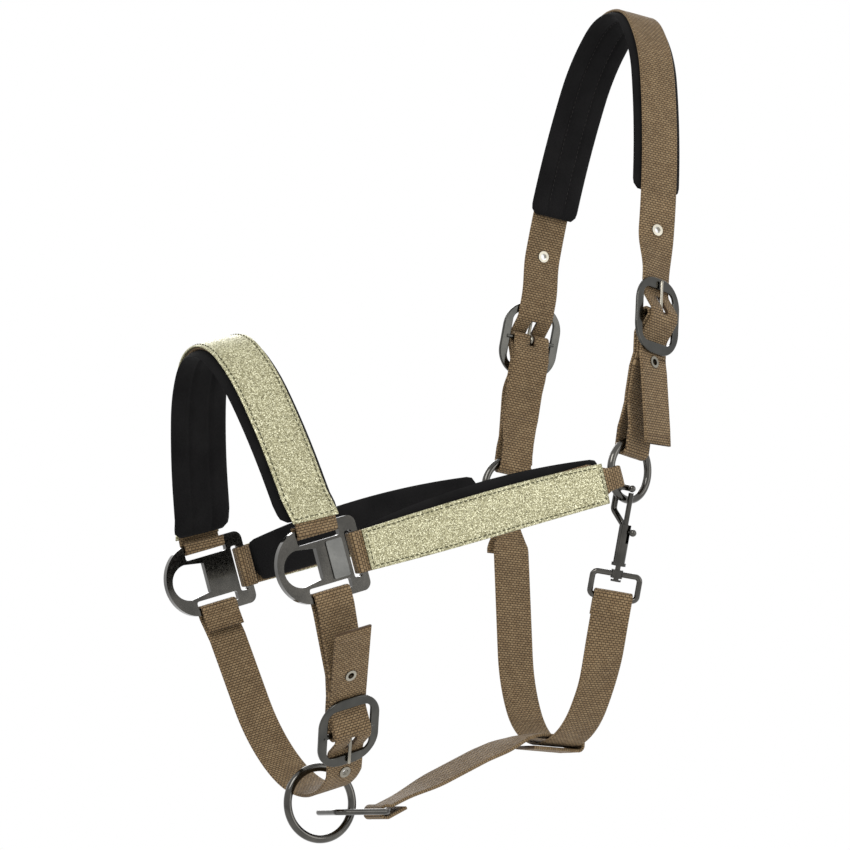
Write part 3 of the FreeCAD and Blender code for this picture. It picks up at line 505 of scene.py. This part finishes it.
def padding_material(name, base, light, scale=1500.0):
    """Matt knitted lining over foam."""
    mat, tree, shader = material(name)
    uv = tree.nodes.new("ShaderNodeTexCoord")
    knit = node(tree, "ShaderNodeTexVoronoi", Scale=scale)
    tree.links.new(uv.outputs["Object"], knit.inputs["Vector"])
    cloud = node(tree, "ShaderNodeTexNoise", Scale=45.0, Detail=6.0)
    tree.links.new(uv.outputs["Object"], cloud.inputs["Vector"])
    tone = ramp(tree, cloud.outputs[0], [(0.32, base), (0.72, light)])
    tree.links.new(tone.outputs[0], shader.inputs["Base Color"])
    b1 = tree.nodes.new("ShaderNodeBump")
    b1.inputs["Strength"].default_value, b1.inputs["Distance"].default_value = 0.6, 0.00025
    tree.links.new(knit.outputs["Distance"], b1.inputs["Height"])
    tree.links.new(b1.outputs[0], shader.inputs["Normal"])
    shader.inputs["Roughness"].default_value = 0.88
    shader.inputs["Specular IOR Level"].default_value = 0.08
    shader.inputs["Sheen Weight"].default_value = 0.02
    shader.inputs["Sheen Roughness"].default_value = 0.5
    return mat


def glitter_material(name):
    """Fine flakes, each with its own tone and tilt."""
    mat, tree, shader = material(name)
    uv = tree.nodes.new("ShaderNodeTexCoord")
    flake = node(tree, "ShaderNodeTexVoronoi", Scale=2300.0)
    tree.links.new(uv.outputs["Object"], flake.inputs["Vector"])
    value = tree.nodes.new("ShaderNodeSeparateColor")
    tree.links.new(flake.outputs["Color"], value.inputs[0])
    tone = ramp(tree, value.outputs[0], [(0.0, (0.10, 0.09, 0.045)), (0.35, (0.30, 0.28, 0.16)),
                                         (0.75, (0.48, 0.46, 0.29)), (1.0, (0.95, 0.93, 0.68))])
    tree.links.new(tone.outputs[0], shader.inputs["Base Color"])
    rough = ramp(tree, value.outputs[1], [(0.0, (0.28, 0.28, 0.28)), (1.0, (0.62, 0.62, 0.62))])
    tree.links.new(rough.outputs[0], shader.inputs["Roughness"])
    b1 = tree.nodes.new("ShaderNodeBump")
    b1.inputs["Strength"].default_value, b1.inputs["Distance"].default_value = 0.7, 0.00022
    tree.links.new(value.outputs[2], b1.inputs["Height"])
    tree.links.new(b1.outputs[0], shader.inputs["Normal"])
    shader.inputs["Metallic"].default_value = 0.55
    return mat


def metal_material(name, base, light, rough, scale=70.0):
    """Plated metal with faint clouding, polishing marks and wear."""
    mat, tree, shader = material(name)
    uv = tree.nodes.new("ShaderNodeTexCoord")
    cloud = node(tree, "ShaderNodeTexNoise", Scale=scale, Detail=6.0)
    tree.links.new(uv.outputs["Object"], cloud.inputs["Vector"])
    tone = ramp(tree, cloud.outputs[0], [(0.35, base), (0.7, light)])
    tree.links.new(tone.outputs[0], shader.inputs["Base Color"])
    grain = node(tree, "ShaderNodeTexNoise", Scale=900.0, Detail=3.0)
    tree.links.new(uv.outputs["Object"], grain.inputs["Vector"])
    r = ramp(tree, grain.outputs[0], [(0.3, (rough * 0.75,) * 3), (0.75, (rough * 1.35,) * 3)])
    tree.links.new(r.outputs[0], shader.inputs["Roughness"])
    b1 = tree.nodes.new("ShaderNodeBump")
    b1.inputs["Strength"].default_value, b1.inputs["Distance"].default_value = 0.12, 0.0001
    tree.links.new(cloud.outputs[0], b1.inputs["Height"])
    tree.links.new(b1.outputs[0], shader.inputs["Normal"])
    shader.inputs["Metallic"].default_value = 1.0
    shader.inputs["Coat Weight"].default_value = 0.5
    shader.inputs["Coat Roughness"].default_value = 0.06
    return mat


WEBBING = webbing_material("webbing", (0.062, 0.036, 0.017), (0.185, 0.122, 0.062), (0.255, 0.178, 0.096))
TAPE = webbing_material("edge_tape", (0.02, 0.018, 0.017), (0.05, 0.043, 0.038), (0.07, 0.06, 0.054))
PADDING = padding_material("padding", (0.0045, 0.0043, 0.0045), (0.009, 0.0086, 0.0088))
GLITTER = glitter_material("overlay")
THREAD = padding_material("thread", (0.055, 0.055, 0.030), (0.09, 0.088, 0.050), 3000.0)
WEB_THREAD = padding_material("web_thread", (0.13, 0.088, 0.055), (0.19, 0.135, 0.088), 3000.0)
DARK = metal_material("dark_metal", (0.045, 0.043, 0.038), (0.085, 0.08, 0.07), 0.14)
BRIGHT = metal_material("bright_metal", (0.20, 0.185, 0.15), (0.34, 0.32, 0.26), 0.14)
FRAME_METAL = metal_material("satin_metal", (0.03, 0.03, 0.026), (0.06, 0.058, 0.05), 0.18)
BADGE = metal_material("badge_metal", (0.10, 0.10, 0.095), (0.16, 0.16, 0.15), 0.38)

# --- planes of the straps, as in the part ---
UP = lean(CROWN_LEAN)
CROWN_MID = UP * -CROWN_RISE
CROWN = Plane(CROWN_MID, Y, UP)
FIT_U = Vector((math.cos(rad(CHEEK_RISE)), 0, math.sin(rad(CHEEK_RISE))))
FIT_V = Vector((-math.sin(rad(CHEEK_RISE)), 0, math.cos(rad(CHEEK_RISE))))
SLOT_MID = CROWN_MID - FIT_U * CHEEK_LENGTH
NOSE = Plane(NOSE_MID, Y, lean(NOSE_LEAN))
CHIN = Plane(CHIN_MID, Y, lean(CHIN_LEAN))
THROAT = Plane(CROWN_MID, Y, lean(THROAT_LEAN))
JAW = Plane((0, 0, 0), X, Z)
CHIN_P = (-math.cos(rad(CHIN_SLANT)), -math.sin(rad(CHIN_SLANT)))
CHIN_Q = (math.sin(rad(CHIN_SLANT)), -math.cos(rad(CHIN_SLANT)))
NAMES = {-1: "near", 1: "far"}


def side_plane(side):
    outward = Vector((0, side, 0))
    if side < 0:
        outward = turned(outward, Z, NEAR_TWIST)
        outward = outward - UP * outward.dot(UP)
    return Plane(CROWN_MID + Y * (side * RING_HALF_SPAN), outward, UP)


def buckle_at(side):
    return side_plane(side).tilted(BUCKLE_OUT[side], BUCKLE_UP, BUCKLE_TILT)


def over_bar():
    return [(STRAP_IN, 26.0, 0), (STRAP_IN, SLOPE_TO, 7), (STRAP_OVER, SLOPE_FROM, 4),
            (STRAP_OVER, -SLOPE_FROM, 4), (STRAP_IN, -SLOPE_TO, 7), (STRAP_IN, -25.0, 8)]


def bar_fold():
    arc = [(BAR_FOLD_R * math.cos(rad(k)), BAR_FOLD_R * math.sin(rad(k))) for k in range(0, 181, 12)]
    outer = divided([(LEG_OUT, -24.0), (LEG_OUT, -12.0), (BAR_FOLD_R, -1.5)])
    inner = divided([(-BAR_FOLD_R, -1.5), (LEG_IN, -11.5), (LEG_IN, -24.0)])
    return outer + arc + inner


def in_plane(corner, origin, p, q):
    a = origin[0] + corner[0] * p[0] + corner[1] * q[0]
    b = origin[1] + corner[0] * p[1] + corner[1] * q[1]
    return (a, b) + tuple(corner[2:])


def tongue_slot(buckle):
    return box_tool(buckle, (-4, 0.5, -2.2), (8, 12.0, 2.2))


def loop_slot(buckle):
    return box_tool(buckle, (-4.8, -4.8, -1.7), (4.8, 4.8, 1.7))


def ring_fold(width, clear=RING_CLEAR):
    inner = math.sqrt((RING_R - RING_WIRE) ** 2 - (width / 2) ** 2)
    return RING_R - inner + 0.5 + WEB_T / 2, RING_WIRE + clear + WEB_T / 2


# --- the crown ---

BUCKLE_P = (math.cos(rad(BUCKLE_TILT)), math.sin(rad(BUCKLE_TILT)))
BUCKLE_Q = (-math.sin(rad(BUCKLE_TILT)), math.cos(rad(BUCKLE_TILT)))


def crown_half(end):
    trail = Trail(0, CROWN_RISE + PAD_T + PAD_GAP + WEB_T / 2, 0)
    trail.arc(34, -44).arc(95, -26).arc(420, -14)
    return (trail.line(end) if end else trail).points


def crown_low(side):
    corners = [in_plane(c, (BUCKLE_OUT[side], BUCKLE_UP), BUCKLE_P, BUCKLE_Q) for c in over_bar()]
    corners += [(TAIL[side][0], 62.0, 20), (TAIL[side][1], 28.0, 20), (TAIL[side][2], 17.0, 0)]
    points = rounded(corners)
    low = stations(side_plane(side), points)
    drift = [TAIL_DRIFT * max(0.0, (68.0 - q[1]) / 51.0) for q in points]
    return [(p + CROWN.c * d, c * side, w) for (p, c, w), d in zip(low, drift)]


def crown_line(side):
    top = crown_half(2.0)
    top = stations(CROWN, top if side > 0 else mirrored(top))
    low = crown_low(side)
    gap = blended((top[-1], heading(top[-2], top[-1])), (low[0], heading(low[0], low[1])), 10)
    return top + gap + low


def spot_on(line, height):
    """(place, along) where a crown line passes a height above the rings."""
    for s0, s1 in zip(line, line[1:]):
        h0, h1 = (s0[0] - CROWN_MID).dot(UP), (s1[0] - CROWN_MID).dot(UP)
        if h0 >= height > h1:
            f = (h0 - height) / (h0 - h1)
            return s0[0].lerp(s1[0], f), (s0[0] - s1[0]).normalized()
    return None


def build_crown():
    near, far = crown_line(-1), crown_line(1)
    line = near[::-1] + far[1:]
    strap = sweep("webbing_crown", line, WEB_T, WEBBING, "crown", ["crown_strap"])
    tools = []
    for side, half in ((-1, near), (1, far)):
        tools.append(tongue_slot(buckle_at(side)))
        for height in (EYELET_ABOVE, EYELET_BELOW):
            p, along = spot_on(half, height)
            out = along.cross(side_plane(side).c) * (1 if side > 0 else -1)
            tools.append(eyelet_tool(p, out))
    cut(strap, tools)
    total = framed(line)[-1][5]
    sides = (1, -1)
    rows = [cross_row(line, at, s * STITCH_LIFT, STITCH_INSET) for at in (total - 5.0, 5.0) for s in sides]
    rows += [edge_row(line, x, 1.0, 170, 170) for x in (-8.0, 8.0)]
    stitch_rows("stitching_crown", rows, "crown", WEB_THREAD)


def pad_section(channels=(), crown=1.0, ends=7.0, dip=1.3):
    """A crowned pad: +n is the side that lies on the horse."""
    def section(w, t, run, total):
        near_end = min(run, total - run)
        k = 1.0
        if near_end < ends:
            k = math.sqrt(max(0.0, 1 - ((ends - near_end) / ends) ** 2))
        hw = w / 2 * (0.80 + 0.20 * k)
        thick = t * (0.30 + 0.70 * k)
        n = 34
        inner, outer = [], []
        for i in range(n + 1):
            x = -math.cos(math.pi * i / n)
            swell = (1 - abs(x) ** 5.0) ** 0.6
            groove = sum(math.exp(-((x - c) * w / 2 / 1.1) ** 2) for c in channels)
            inner.append((x * hw, (0.5 * swell * crown - 0.05) * thick - dip * groove * k * 0.8))
            outer.append((x * hw, -0.5 * thick * (1 - abs(x) ** 9)))
        return inner + outer[1:-1][::-1]
    return section


def build_pads():
    half = parallel(crown_half(0), -(PAD_T / 2 + PAD_GAP + WEB_T / 2))
    half = divided([q for q in half if q[1] > PAD_END])
    path = mirrored(half)[::-1] + half[1:]
    line = stations(CROWN, path, CROWN_PAD_W)
    pad = sweep("pad_crown", line, PAD_T, PADDING, "crown", ["crown_pad"],
                section=pad_section((-0.34, 0.34)))
    rows = [edge_row(line, x, 1.55, 6, 6) for x in (-5.6, 5.6)]
    stitch_rows("stitching_crown_pad", rows, "crown", TAPE, 3.0, 2.0, 0.25)


def build_buckle_strap(side):
    plane = side_plane(side)
    past, off = ring_fold(TOP_LOOP_W)
    bottom = RING_R - past
    fold = [in_plane(c, (BUCKLE_OUT[side], BUCKLE_UP), BUCKLE_P, BUCKLE_Q) for c in bar_fold()]
    mid = LEGS_MID[side]
    low = rounded([(mid + LEG_HALF, 62.0, 0), (mid / 2 + LEG_HALF, 40.0, 12), (off, 25.0, 8),
                   (off, bottom, off), (-off, bottom, off), (-off, 25.0, 8),
                   (mid / 2 - LEG_HALF, 40.0, 12), (mid - LEG_HALF, 62.0, 0)])

    def width(a, b):
        return WEB_W - (WEB_W - TOP_LOOP_W) * min(1.0, max(0.0, (44.0 - b) / 16.0))
    name = NAMES[side]
    line = stations(plane, fold + low[::-1], width)
    piece = sweep("webbing_buckle_" + name, line, WEB_T, WEBBING, "crown", [name + "_buckle_strap"],
                  closed=True)
    cut(piece, [loop_slot(buckle_at(side))])
    rows = []
    for s in (44.0, 64.0):
        for o, n in ((2.2, 1), (-2.2, -1)):
            base = mid / 2 + (s - 40) / 22 * mid / 2
            rows.append([(plane.at(o + base, s, c), plane.a * n) for c in (-9.5, -4.7, 0, 4.7, 9.5)])
    stitch_rows("stitching_buckle_" + name, rows, "crown", WEB_THREAD)


# --- the cheeks ---

def cheek_plane(side):
    start = SLOT_MID + Y * (side * FITTING_HALF_SPAN)
    ring = side_plane(side)
    front = -FIT_U
    front = (front - ring.a * front.dot(ring.a)).normalized()
    wire = ring.o + front * RING_R
    b = (wire - start).normalized()
    a = Vector((0, side, 0))
    a = (a - b * b.dot(a)).normalized()
    return Plane(start, a, b), (wire - start).length


def along_cheek(start, end):
    """(distance along the cheek, -1 at the front end to 1 at the rear) for each station."""
    for k in range(CHEEK_STEPS + 1):
        yield start + (end - start) * k / CHEEK_STEPS, 2.0 * k / CHEEK_STEPS - 1.0


def facing(line, way):
    """The line with its across directions such that its normal faces this way."""
    turned_away = framed(line)[len(line) // 2][3].dot(way) < 0
    return [(p, c * -1, w) for p, c, w in line] if turned_away else line


def build_cheek(side):
    plane, reach = cheek_plane(side)
    name = NAMES[side]
    past, off = ring_fold(RING_LOOP_W, RING_CLEAR if side > 0 else NEAR_RING_CLEAR)
    slot = REAR_SLOT_W - FOLD_GAP - 0.1 - WEB_T / 2
    mid = 0.0
    if side < 0:
        mid = -0.4
        past += NEAR_LOOP_SLACK
    wide = BAR_O + 0.25
    corners = [(-wide, 11.2, 0), (-wide, slot, FOLD_R), (wide, slot, FOLD_R),
               (WEB_O, 20.0, 0), (WEB_O, 166.0, 10),
               (mid + off, reach - 5, 10), (mid + off, reach + past, off), (mid - off, reach + past, off),
               (mid - off, reach - 5.0, 0)]

    def width(a, b):
        return NARROW_WEB_W - (NARROW_WEB_W - RING_LOOP_W) * min(1.0, max(0.0, (b - 167.0) / 12.0))
    line = stations(plane, rounded(corners), width)
    sweep("webbing_cheek_" + name, line, WEB_T, WEBBING, "nose", [name + "_cheek_strap"])
    # the pad: arched along its top edge
    pad_line = []
    for t, f in along_cheek(*CHEEK_PAD_ENDS):
        corner = math.sqrt(max(0.0, 1 - (max(0.0, abs(f) - 0.93) / 0.07) ** 2))
        top = (13.6 + 6.0 * (1 - f * f)) * (0.72 + 0.28 * corner)
        low = -11.4 * (0.72 + 0.28 * corner)
        pad_line.append((plane.at(PAD_O, t) + FIT_V * ((top + low) / 2), FIT_V, top - low))
    pad_line = facing(pad_line, -plane.a)
    pad = sweep("pad_cheek_" + name, pad_line, PAD_T, PADDING, "nose", [name + "_cheek_pad"],
                section=pad_section((), 1.0, 5.0))
    # the overlay, slightly wider in the middle
    lay = []
    for t, f in along_cheek(*OVERLAY_ENDS[side]):
        drop = -1.6 * max(0.0, f) ** 2
        lay.append((plane.at(OVERLAY_O, t) + FIT_V * drop, FIT_V, 24.4 + 2.6 * (1 - f * f)))
    lay = facing(lay, plane.a)
    sweep("overlay_cheek_" + name, lay, CHEEK_OVERLAY_T, GLITTER, "nose", [name + "_cheek_overlay"],
          section=overlay_section)
    stitch_rows("stitching_cheek_" + name, outline_rows(lay, 2.1, 0.60), "nose", THREAD)


def overlay_section(w, t, run, total):
    """A thin coated band with softly turned edges; +n is its outer face."""
    x, h = w / 2, t / 2
    left = [(-x, -h * 0.3), (-x + 0.25, h * 0.65), (-x + 0.9, h), (-x + 2.1, h * 0.72), (-x + 3.2, h * 1.05)]
    right = [(-a, b) for a, b in reversed(left)]
    return left + [(0, h * 1.15)] + right + [(x - 0.4, -h), (0, -h), (-x + 0.4, -h)]


def outline_rows(line, inset, lift):
    """Stitch rows along both edges and across both ends of a band."""
    rows = framed(line)
    total = rows[-1][5]
    out = []
    for sign in (-1, 1):
        out.append([(p + c * (sign * (w / 2 - inset)) + n * lift, n) for p, al, c, n, w, run in rows
                    if inset <= run <= total - inset])
    for at in (inset, total - inset):
        for r0, r1 in zip(rows, rows[1:]):
            if r0[5] <= at <= r1[5]:
                p, al, c, n, w, run = r0
                p = p.lerp(r1[0], (at - r0[5]) / (r1[5] - r0[5]))
                h = w / 2 - inset
                out.append([(p + c * (x * h / 4) + n * lift, n) for x in range(-4, 5)])
                break
    return out


# --- the noseband ---

def nose_half(end=14.0):
    return Trail(0, 113, 0).arc(38, -42).arc(95, -20).arc(300, -10).line(end).points


def build_noseband():
    y = FITTING_HALF_SPAN
    low = BAR_S - SLOT_BAR / 2 - FOLD_GAP - WEB_T / 2
    end = rounded([(70.6, 15.5, 0), (y + BAR_O, 1.0, 5), (y + BAR_O, low, FOLD_R), (y - BAR_O, low, FOLD_R),
                   (y - BAR_O, -1.0, 0)])
    half = [q for q in nose_half() if q[1] > 18] + end
    path = mirrored(half)[::-1] + half[1:]
    line = stations(NOSE, path, NOSE_WEB_W, FIT_U)
    sweep("webbing_noseband", line, WEB_T, WEBBING, "nose", ["noseband_strap"])

    def layer(offset, stop, width):
        outer = [q for q in half if q[1] > 0.0 and q[0] < 79.5]
        pts = [q for q in parallel(outer, offset) if q[1] > stop]
        pts = mirrored(pts)[::-1] + pts[1:]
        return stations(NOSE, pts, width, FIT_U)
    line = layer(-(WEB_T / 2 + PAD_GAP + PAD_T / 2), 2.0, NOSE_PAD_W)
    pad = sweep("pad_noseband", line, PAD_T, PADDING, "nose", ["noseband_pad"],
                section=pad_section((-0.36, 0.36), 1.0, 6.0))
    line = layer(WEB_T / 2 + 0.1 + NOSE_OVERLAY_T / 2, 1.0, NOSE_OVERLAY_W)
    line = [(p, c * -1, w) for p, c, w in line]
    sweep("overlay_noseband", line, NOSE_OVERLAY_T, GLITTER, "nose", ["noseband_overlay"],
          section=overlay_section)
    stitch_rows("stitching_noseband", outline_rows(line, 2.3, 0.66), "nose", THREAD)


# --- the chin ---

def build_chin():
    y = FITTING_HALF_SPAN
    high = CHIN_BAR_S + SLOT_BAR / 2 + FOLD_GAP + WEB_T / 2
    fold = [(y - BAR_O - 2, -18.0, 0), (y - BAR_O, -9.0, 4), (y - BAR_O, high, FOLD_R),
            (y + BAR_O, high, FOLD_R), (y + BAR_O, -9.0, 6), (72.9, -24.0, 0)]
    up = Trail(0, CHIN_LOW, 0).arc(61, 40).arc(74, 38).points
    near = mirrored(Trail(0, CHIN_LOW, 0).arc(61, 34).points)[1:]
    through = [in_plane(c, CHIN_B, CHIN_P, CHIN_Q) for c in over_bar()]
    through[-1] = through[-1][:2] + (12,)
    tail = rounded(through + [CHIN_TAIL_END + (0,)])
    path = divided(rounded(fold) + up[::-1] + near + tail)
    line = stations(CHIN, path, NARROW_WEB_W, FIT_U)
    strap = sweep("webbing_chin", line, WEB_T, WEBBING, "nose", ["chin_strap"])
    buckle = Plane(CHIN.at(*CHIN_B), CHIN.a * CHIN_P[0] + CHIN.b * CHIN_P[1],
                   CHIN.a * CHIN_Q[0] + CHIN.b * CHIN_Q[1])
    start = CHIN.at(*in_plane((STRAP_IN, -25.0), CHIN_B, CHIN_P, CHIN_Q))
    along = (CHIN.at(*CHIN_TAIL_END) - start).normalized()
    cut(strap, [tongue_slot(buckle), eyelet_tool(buckle.at(STRAP_IN, CHIN_EYELET_IN), buckle.a),
                eyelet_tool(start + along * CHIN_EYELET_UP, along.cross(FIT_U))])
    total = framed(line)[-1][5]
    rows = [cross_row(line, total - 5.0, s * STITCH_LIFT, STITCH_INSET) for s in (1, -1)]
    rows.append(cross_row(line, 30.0, STITCH_LIFT, STITCH_INSET))
    stitch_rows("stitching_chin", rows, "nose", WEB_THREAD)
    fold = [in_plane(c, CHIN_B, CHIN_P, CHIN_Q) for c in bar_fold()]
    top = rounded([(-71.2, -50.0, 0), (-y - BAR_O, -12.0, 12), (-y - BAR_O, high, FOLD_R),
                   (-y + BAR_O, high, FOLD_R), (-y + BAR_O, -12.0, 12), (-67.4, -50.0, 0)])
    line = stations(CHIN, divided(fold + top[::-1]), NARROW_WEB_W, FIT_U)
    piece = sweep("webbing_chin_buckle", line, WEB_T, WEBBING, "nose", ["chin_buckle_strap"],
                  closed=True)
    cut(piece, [loop_slot(buckle)])


# --- throat and jaw ---

def snap_axis():
    lean_in = rad(SNAP_LEAN)
    return Vector((math.sin(rad(SNAP_FORE)), -math.sin(lean_in), math.cos(lean_in))).normalized()


def snap_plane():
    ring = side_plane(-1)
    spot = turned(-ring.b, ring.a, -HOOK_ANGLE)
    if spot.x > -ring.b.x:
        spot = turned(-ring.b, ring.a, HOOK_ANGLE)
    up = snap_axis()
    out = (ring.a - up * ring.a.dot(up)).normalized()
    return Plane(ring.o + spot * RING_R + out * HOOK_GAP, out, up)


def eye_plane():
    up = snap_axis()
    out = turned((0, -1, 0), Z, EYE_TWIST)
    return Plane(snap_plane().at(0, EYE_AT), (out - up * out.dot(up)).normalized(), up)


def build_throat():
    half = Trail(0, -THROAT_DROP, 0).arc(48, 56).arc(100, 23).points
    past, off = ring_fold(RING_LOOP_W)
    turn_at = -(RING_R - past)
    y = RING_HALF_SPAN
    end = rounded([half[-1] + (0,), (y - off - 1.0, -34.0, 10), (y - off, -24.0, 10), (y - off, turn_at, off),
                   (y + off, turn_at, off), (y + off, -26.0, 8), (y + off - 2.2, -42.0, 0)])

    def narrow(a, b):
        return WEB_W - (WEB_W - RING_LOOP_W) * min(1.0, max(0.0, (b + 38.0) / 13.0))
    far = stations(THROAT, half[:-1] + end, narrow)
    near = stations(THROAT, mirrored(Trail(0, -THROAT_DROP, 0).arc(48, 56).arc(130, 5).points))
    eye = eye_plane()
    fold = EYE_WIRE + 0.6 + WEB_T / 2
    corners = [(fold, -EYE_HEIGHT - 14.0, 0), (fold, -EYE_HEIGHT + fold, fold),
               (-fold, -EYE_HEIGHT + fold, fold), (-fold, -EYE_HEIGHT - 12.0, 0)]
    loop_w = EYE_HALF_W * 2 - 2 * EYE_WIRE - 1.6
    loop = [(p, c * -1, w) for p, c, w in stations(eye, rounded(corners), loop_w)]
    gap = blended((near[-1], heading(near[-2], near[-1])), (loop[0], heading(loop[0], loop[1])), 12)
    near_part = (near + gap + loop)[::-1]
    line = near_part + far[1:]
    sweep("webbing_throat", line, WEB_T, WEBBING, "throat", ["throat_strap"])
    rows = [cross_row(line, 36.0, s * STITCH_LIFT, STITCH_INSET) for s in (1, -1)]
    stitch_rows("stitching_throat", rows, "throat", WEB_THREAD)


def build_jaw():
    low = THROAT.at(0, -THROAT_DROP)
    slant = rad(-THROAT_LEAN)

    def near_throat(da, db, turn):
        return (low.x + da * math.cos(slant) - db * math.sin(slant),
                low.z + da * math.sin(slant) + db * math.cos(slant), turn)
    half, over, under = 14.4, 5.0, -3.0
    x, z = LINK_REAR
    r = LINK_WIRE + 0.7 + WEB_T / 2
    corners = [(x + 13.0, z + 2.4, 0), (x + 1.0, z - r, 3.0), (x - r, z - r, 3.2), (x - r, z + r, 3.2),
               (x + 3.5, z + r, 4), (-144.6, -475.6, 60), (-104.9, -456.9, 60)]
    for da, db, turn in ((-half - 9, over - 2.5, 8), (-half, over, 6), (half, over, 3.4), (half, under, 3.4),
                         (-half - 6, under, 0)):
        corners.append(near_throat(da, db, turn))
    line = []
    for p, across, width in stations(JAW, rounded(corners), LINK_HALF_W * 2 - 5.6):
        roll = rad(JAW_ROLL * ease((p.x - JAW_ROLL_FROM) / 28.0) * ease((JAW_ROLL_TO - p.x) / 22.0))
        line.append((p, Vector((0, -math.cos(roll), -math.sin(roll))), width))
    sweep("webbing_jaw", line, WEB_T, WEBBING, "jaw", ["jaw_strap"])


# --- metal ---

def paint_metal():
    looks = {"frame": FRAME_METAL, "tongue": BRIGHT, "eyelets": BRIGHT, "badge": BADGE}
    for name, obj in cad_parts.items():
        look = DARK
        for word, mat in looks.items():
            if name.endswith(word):
                look = mat
        obj.data.materials.clear()
        obj.data.materials.append(look)


build_crown()
build_pads()
for s in (-1, 1):
    build_buckle_strap(s)
    build_cheek(s)
build_noseband()
build_chin()
build_throat()
build_jaw()
paint_metal()

# --- the set ---

TARGET = Vector((-0.1426, 0, -0.2575))      # metres
BACK = Vector((-0.4674, -0.8791, -0.0929)).normalized()
DISTANCE = 2.756
LENS, SENSOR = 192.75, 36.0
FLOOR_Z, FLOOR_HALF = -1.1, 9.0
floor_mat, floor_tree, floor_shader = material("floor")
floor_shader.inputs["Base Color"].default_value = (0.82, 0.82, 0.82, 1)
floor_shader.inputs["Roughness"].default_value = 0.8
floor_mesh = bpy.data.meshes.new("floor")
floor_corners = [(a * FLOOR_HALF, b * FLOOR_HALF, FLOOR_Z) for a, b in ((-1, -1), (1, -1), (1, 1), (-1, 1))]
floor_mesh.from_pydata(floor_corners, [], [(0, 1, 2, 3)])
floor_mesh.materials.append(floor_mat)
floor = bpy.data.objects.new("floor", floor_mesh)
bpy.context.scene.collection.objects.link(floor)

camera = bpy.data.objects.new("camera", bpy.data.cameras.new("camera"))
bpy.context.scene.collection.objects.link(camera)
camera.location = TARGET + BACK * DISTANCE
camera.rotation_mode = "QUATERNION"
camera.rotation_quaternion = BACK.to_track_quat("Z", "Y")
camera.data.lens, camera.data.sensor_width = LENS, SENSOR
camera.data.clip_end = 60
bpy.context.scene.camera = camera


def area(name, place, size, power):
    light = bpy.data.lights.new(name, "AREA")
    light.shape, light.size, light.size_y, light.energy = "RECTANGLE", size[0], size[1], power
    obj = bpy.data.objects.new(name, light)
    obj.location = TARGET + Vector(place)
    obj.rotation_mode = "QUATERNION"
    obj.rotation_quaternion = Vector(place).to_track_quat("Z", "Y")
    bpy.context.scene.collection.objects.link(obj)


area("key", (-1.6, -1.5, 1.6), (1.2, 1.2), 30)
area("fill", (1.5, -1.8, 0.4), (1.2, 1.6), 12)
area("rim", (0.6, 1.8, 1.0), (1.6, 1.0), 18)
world = bpy.data.worlds.new("studio")
world.use_nodes = True
world.node_tree.nodes["Background"].inputs["Color"].default_value = (1, 1, 1, 1)
world.node_tree.nodes["Background"].inputs["Strength"].default_value = 1.0
bpy.context.scene.world = world

bpy.context.scene.view_settings.view_transform = "Standard"
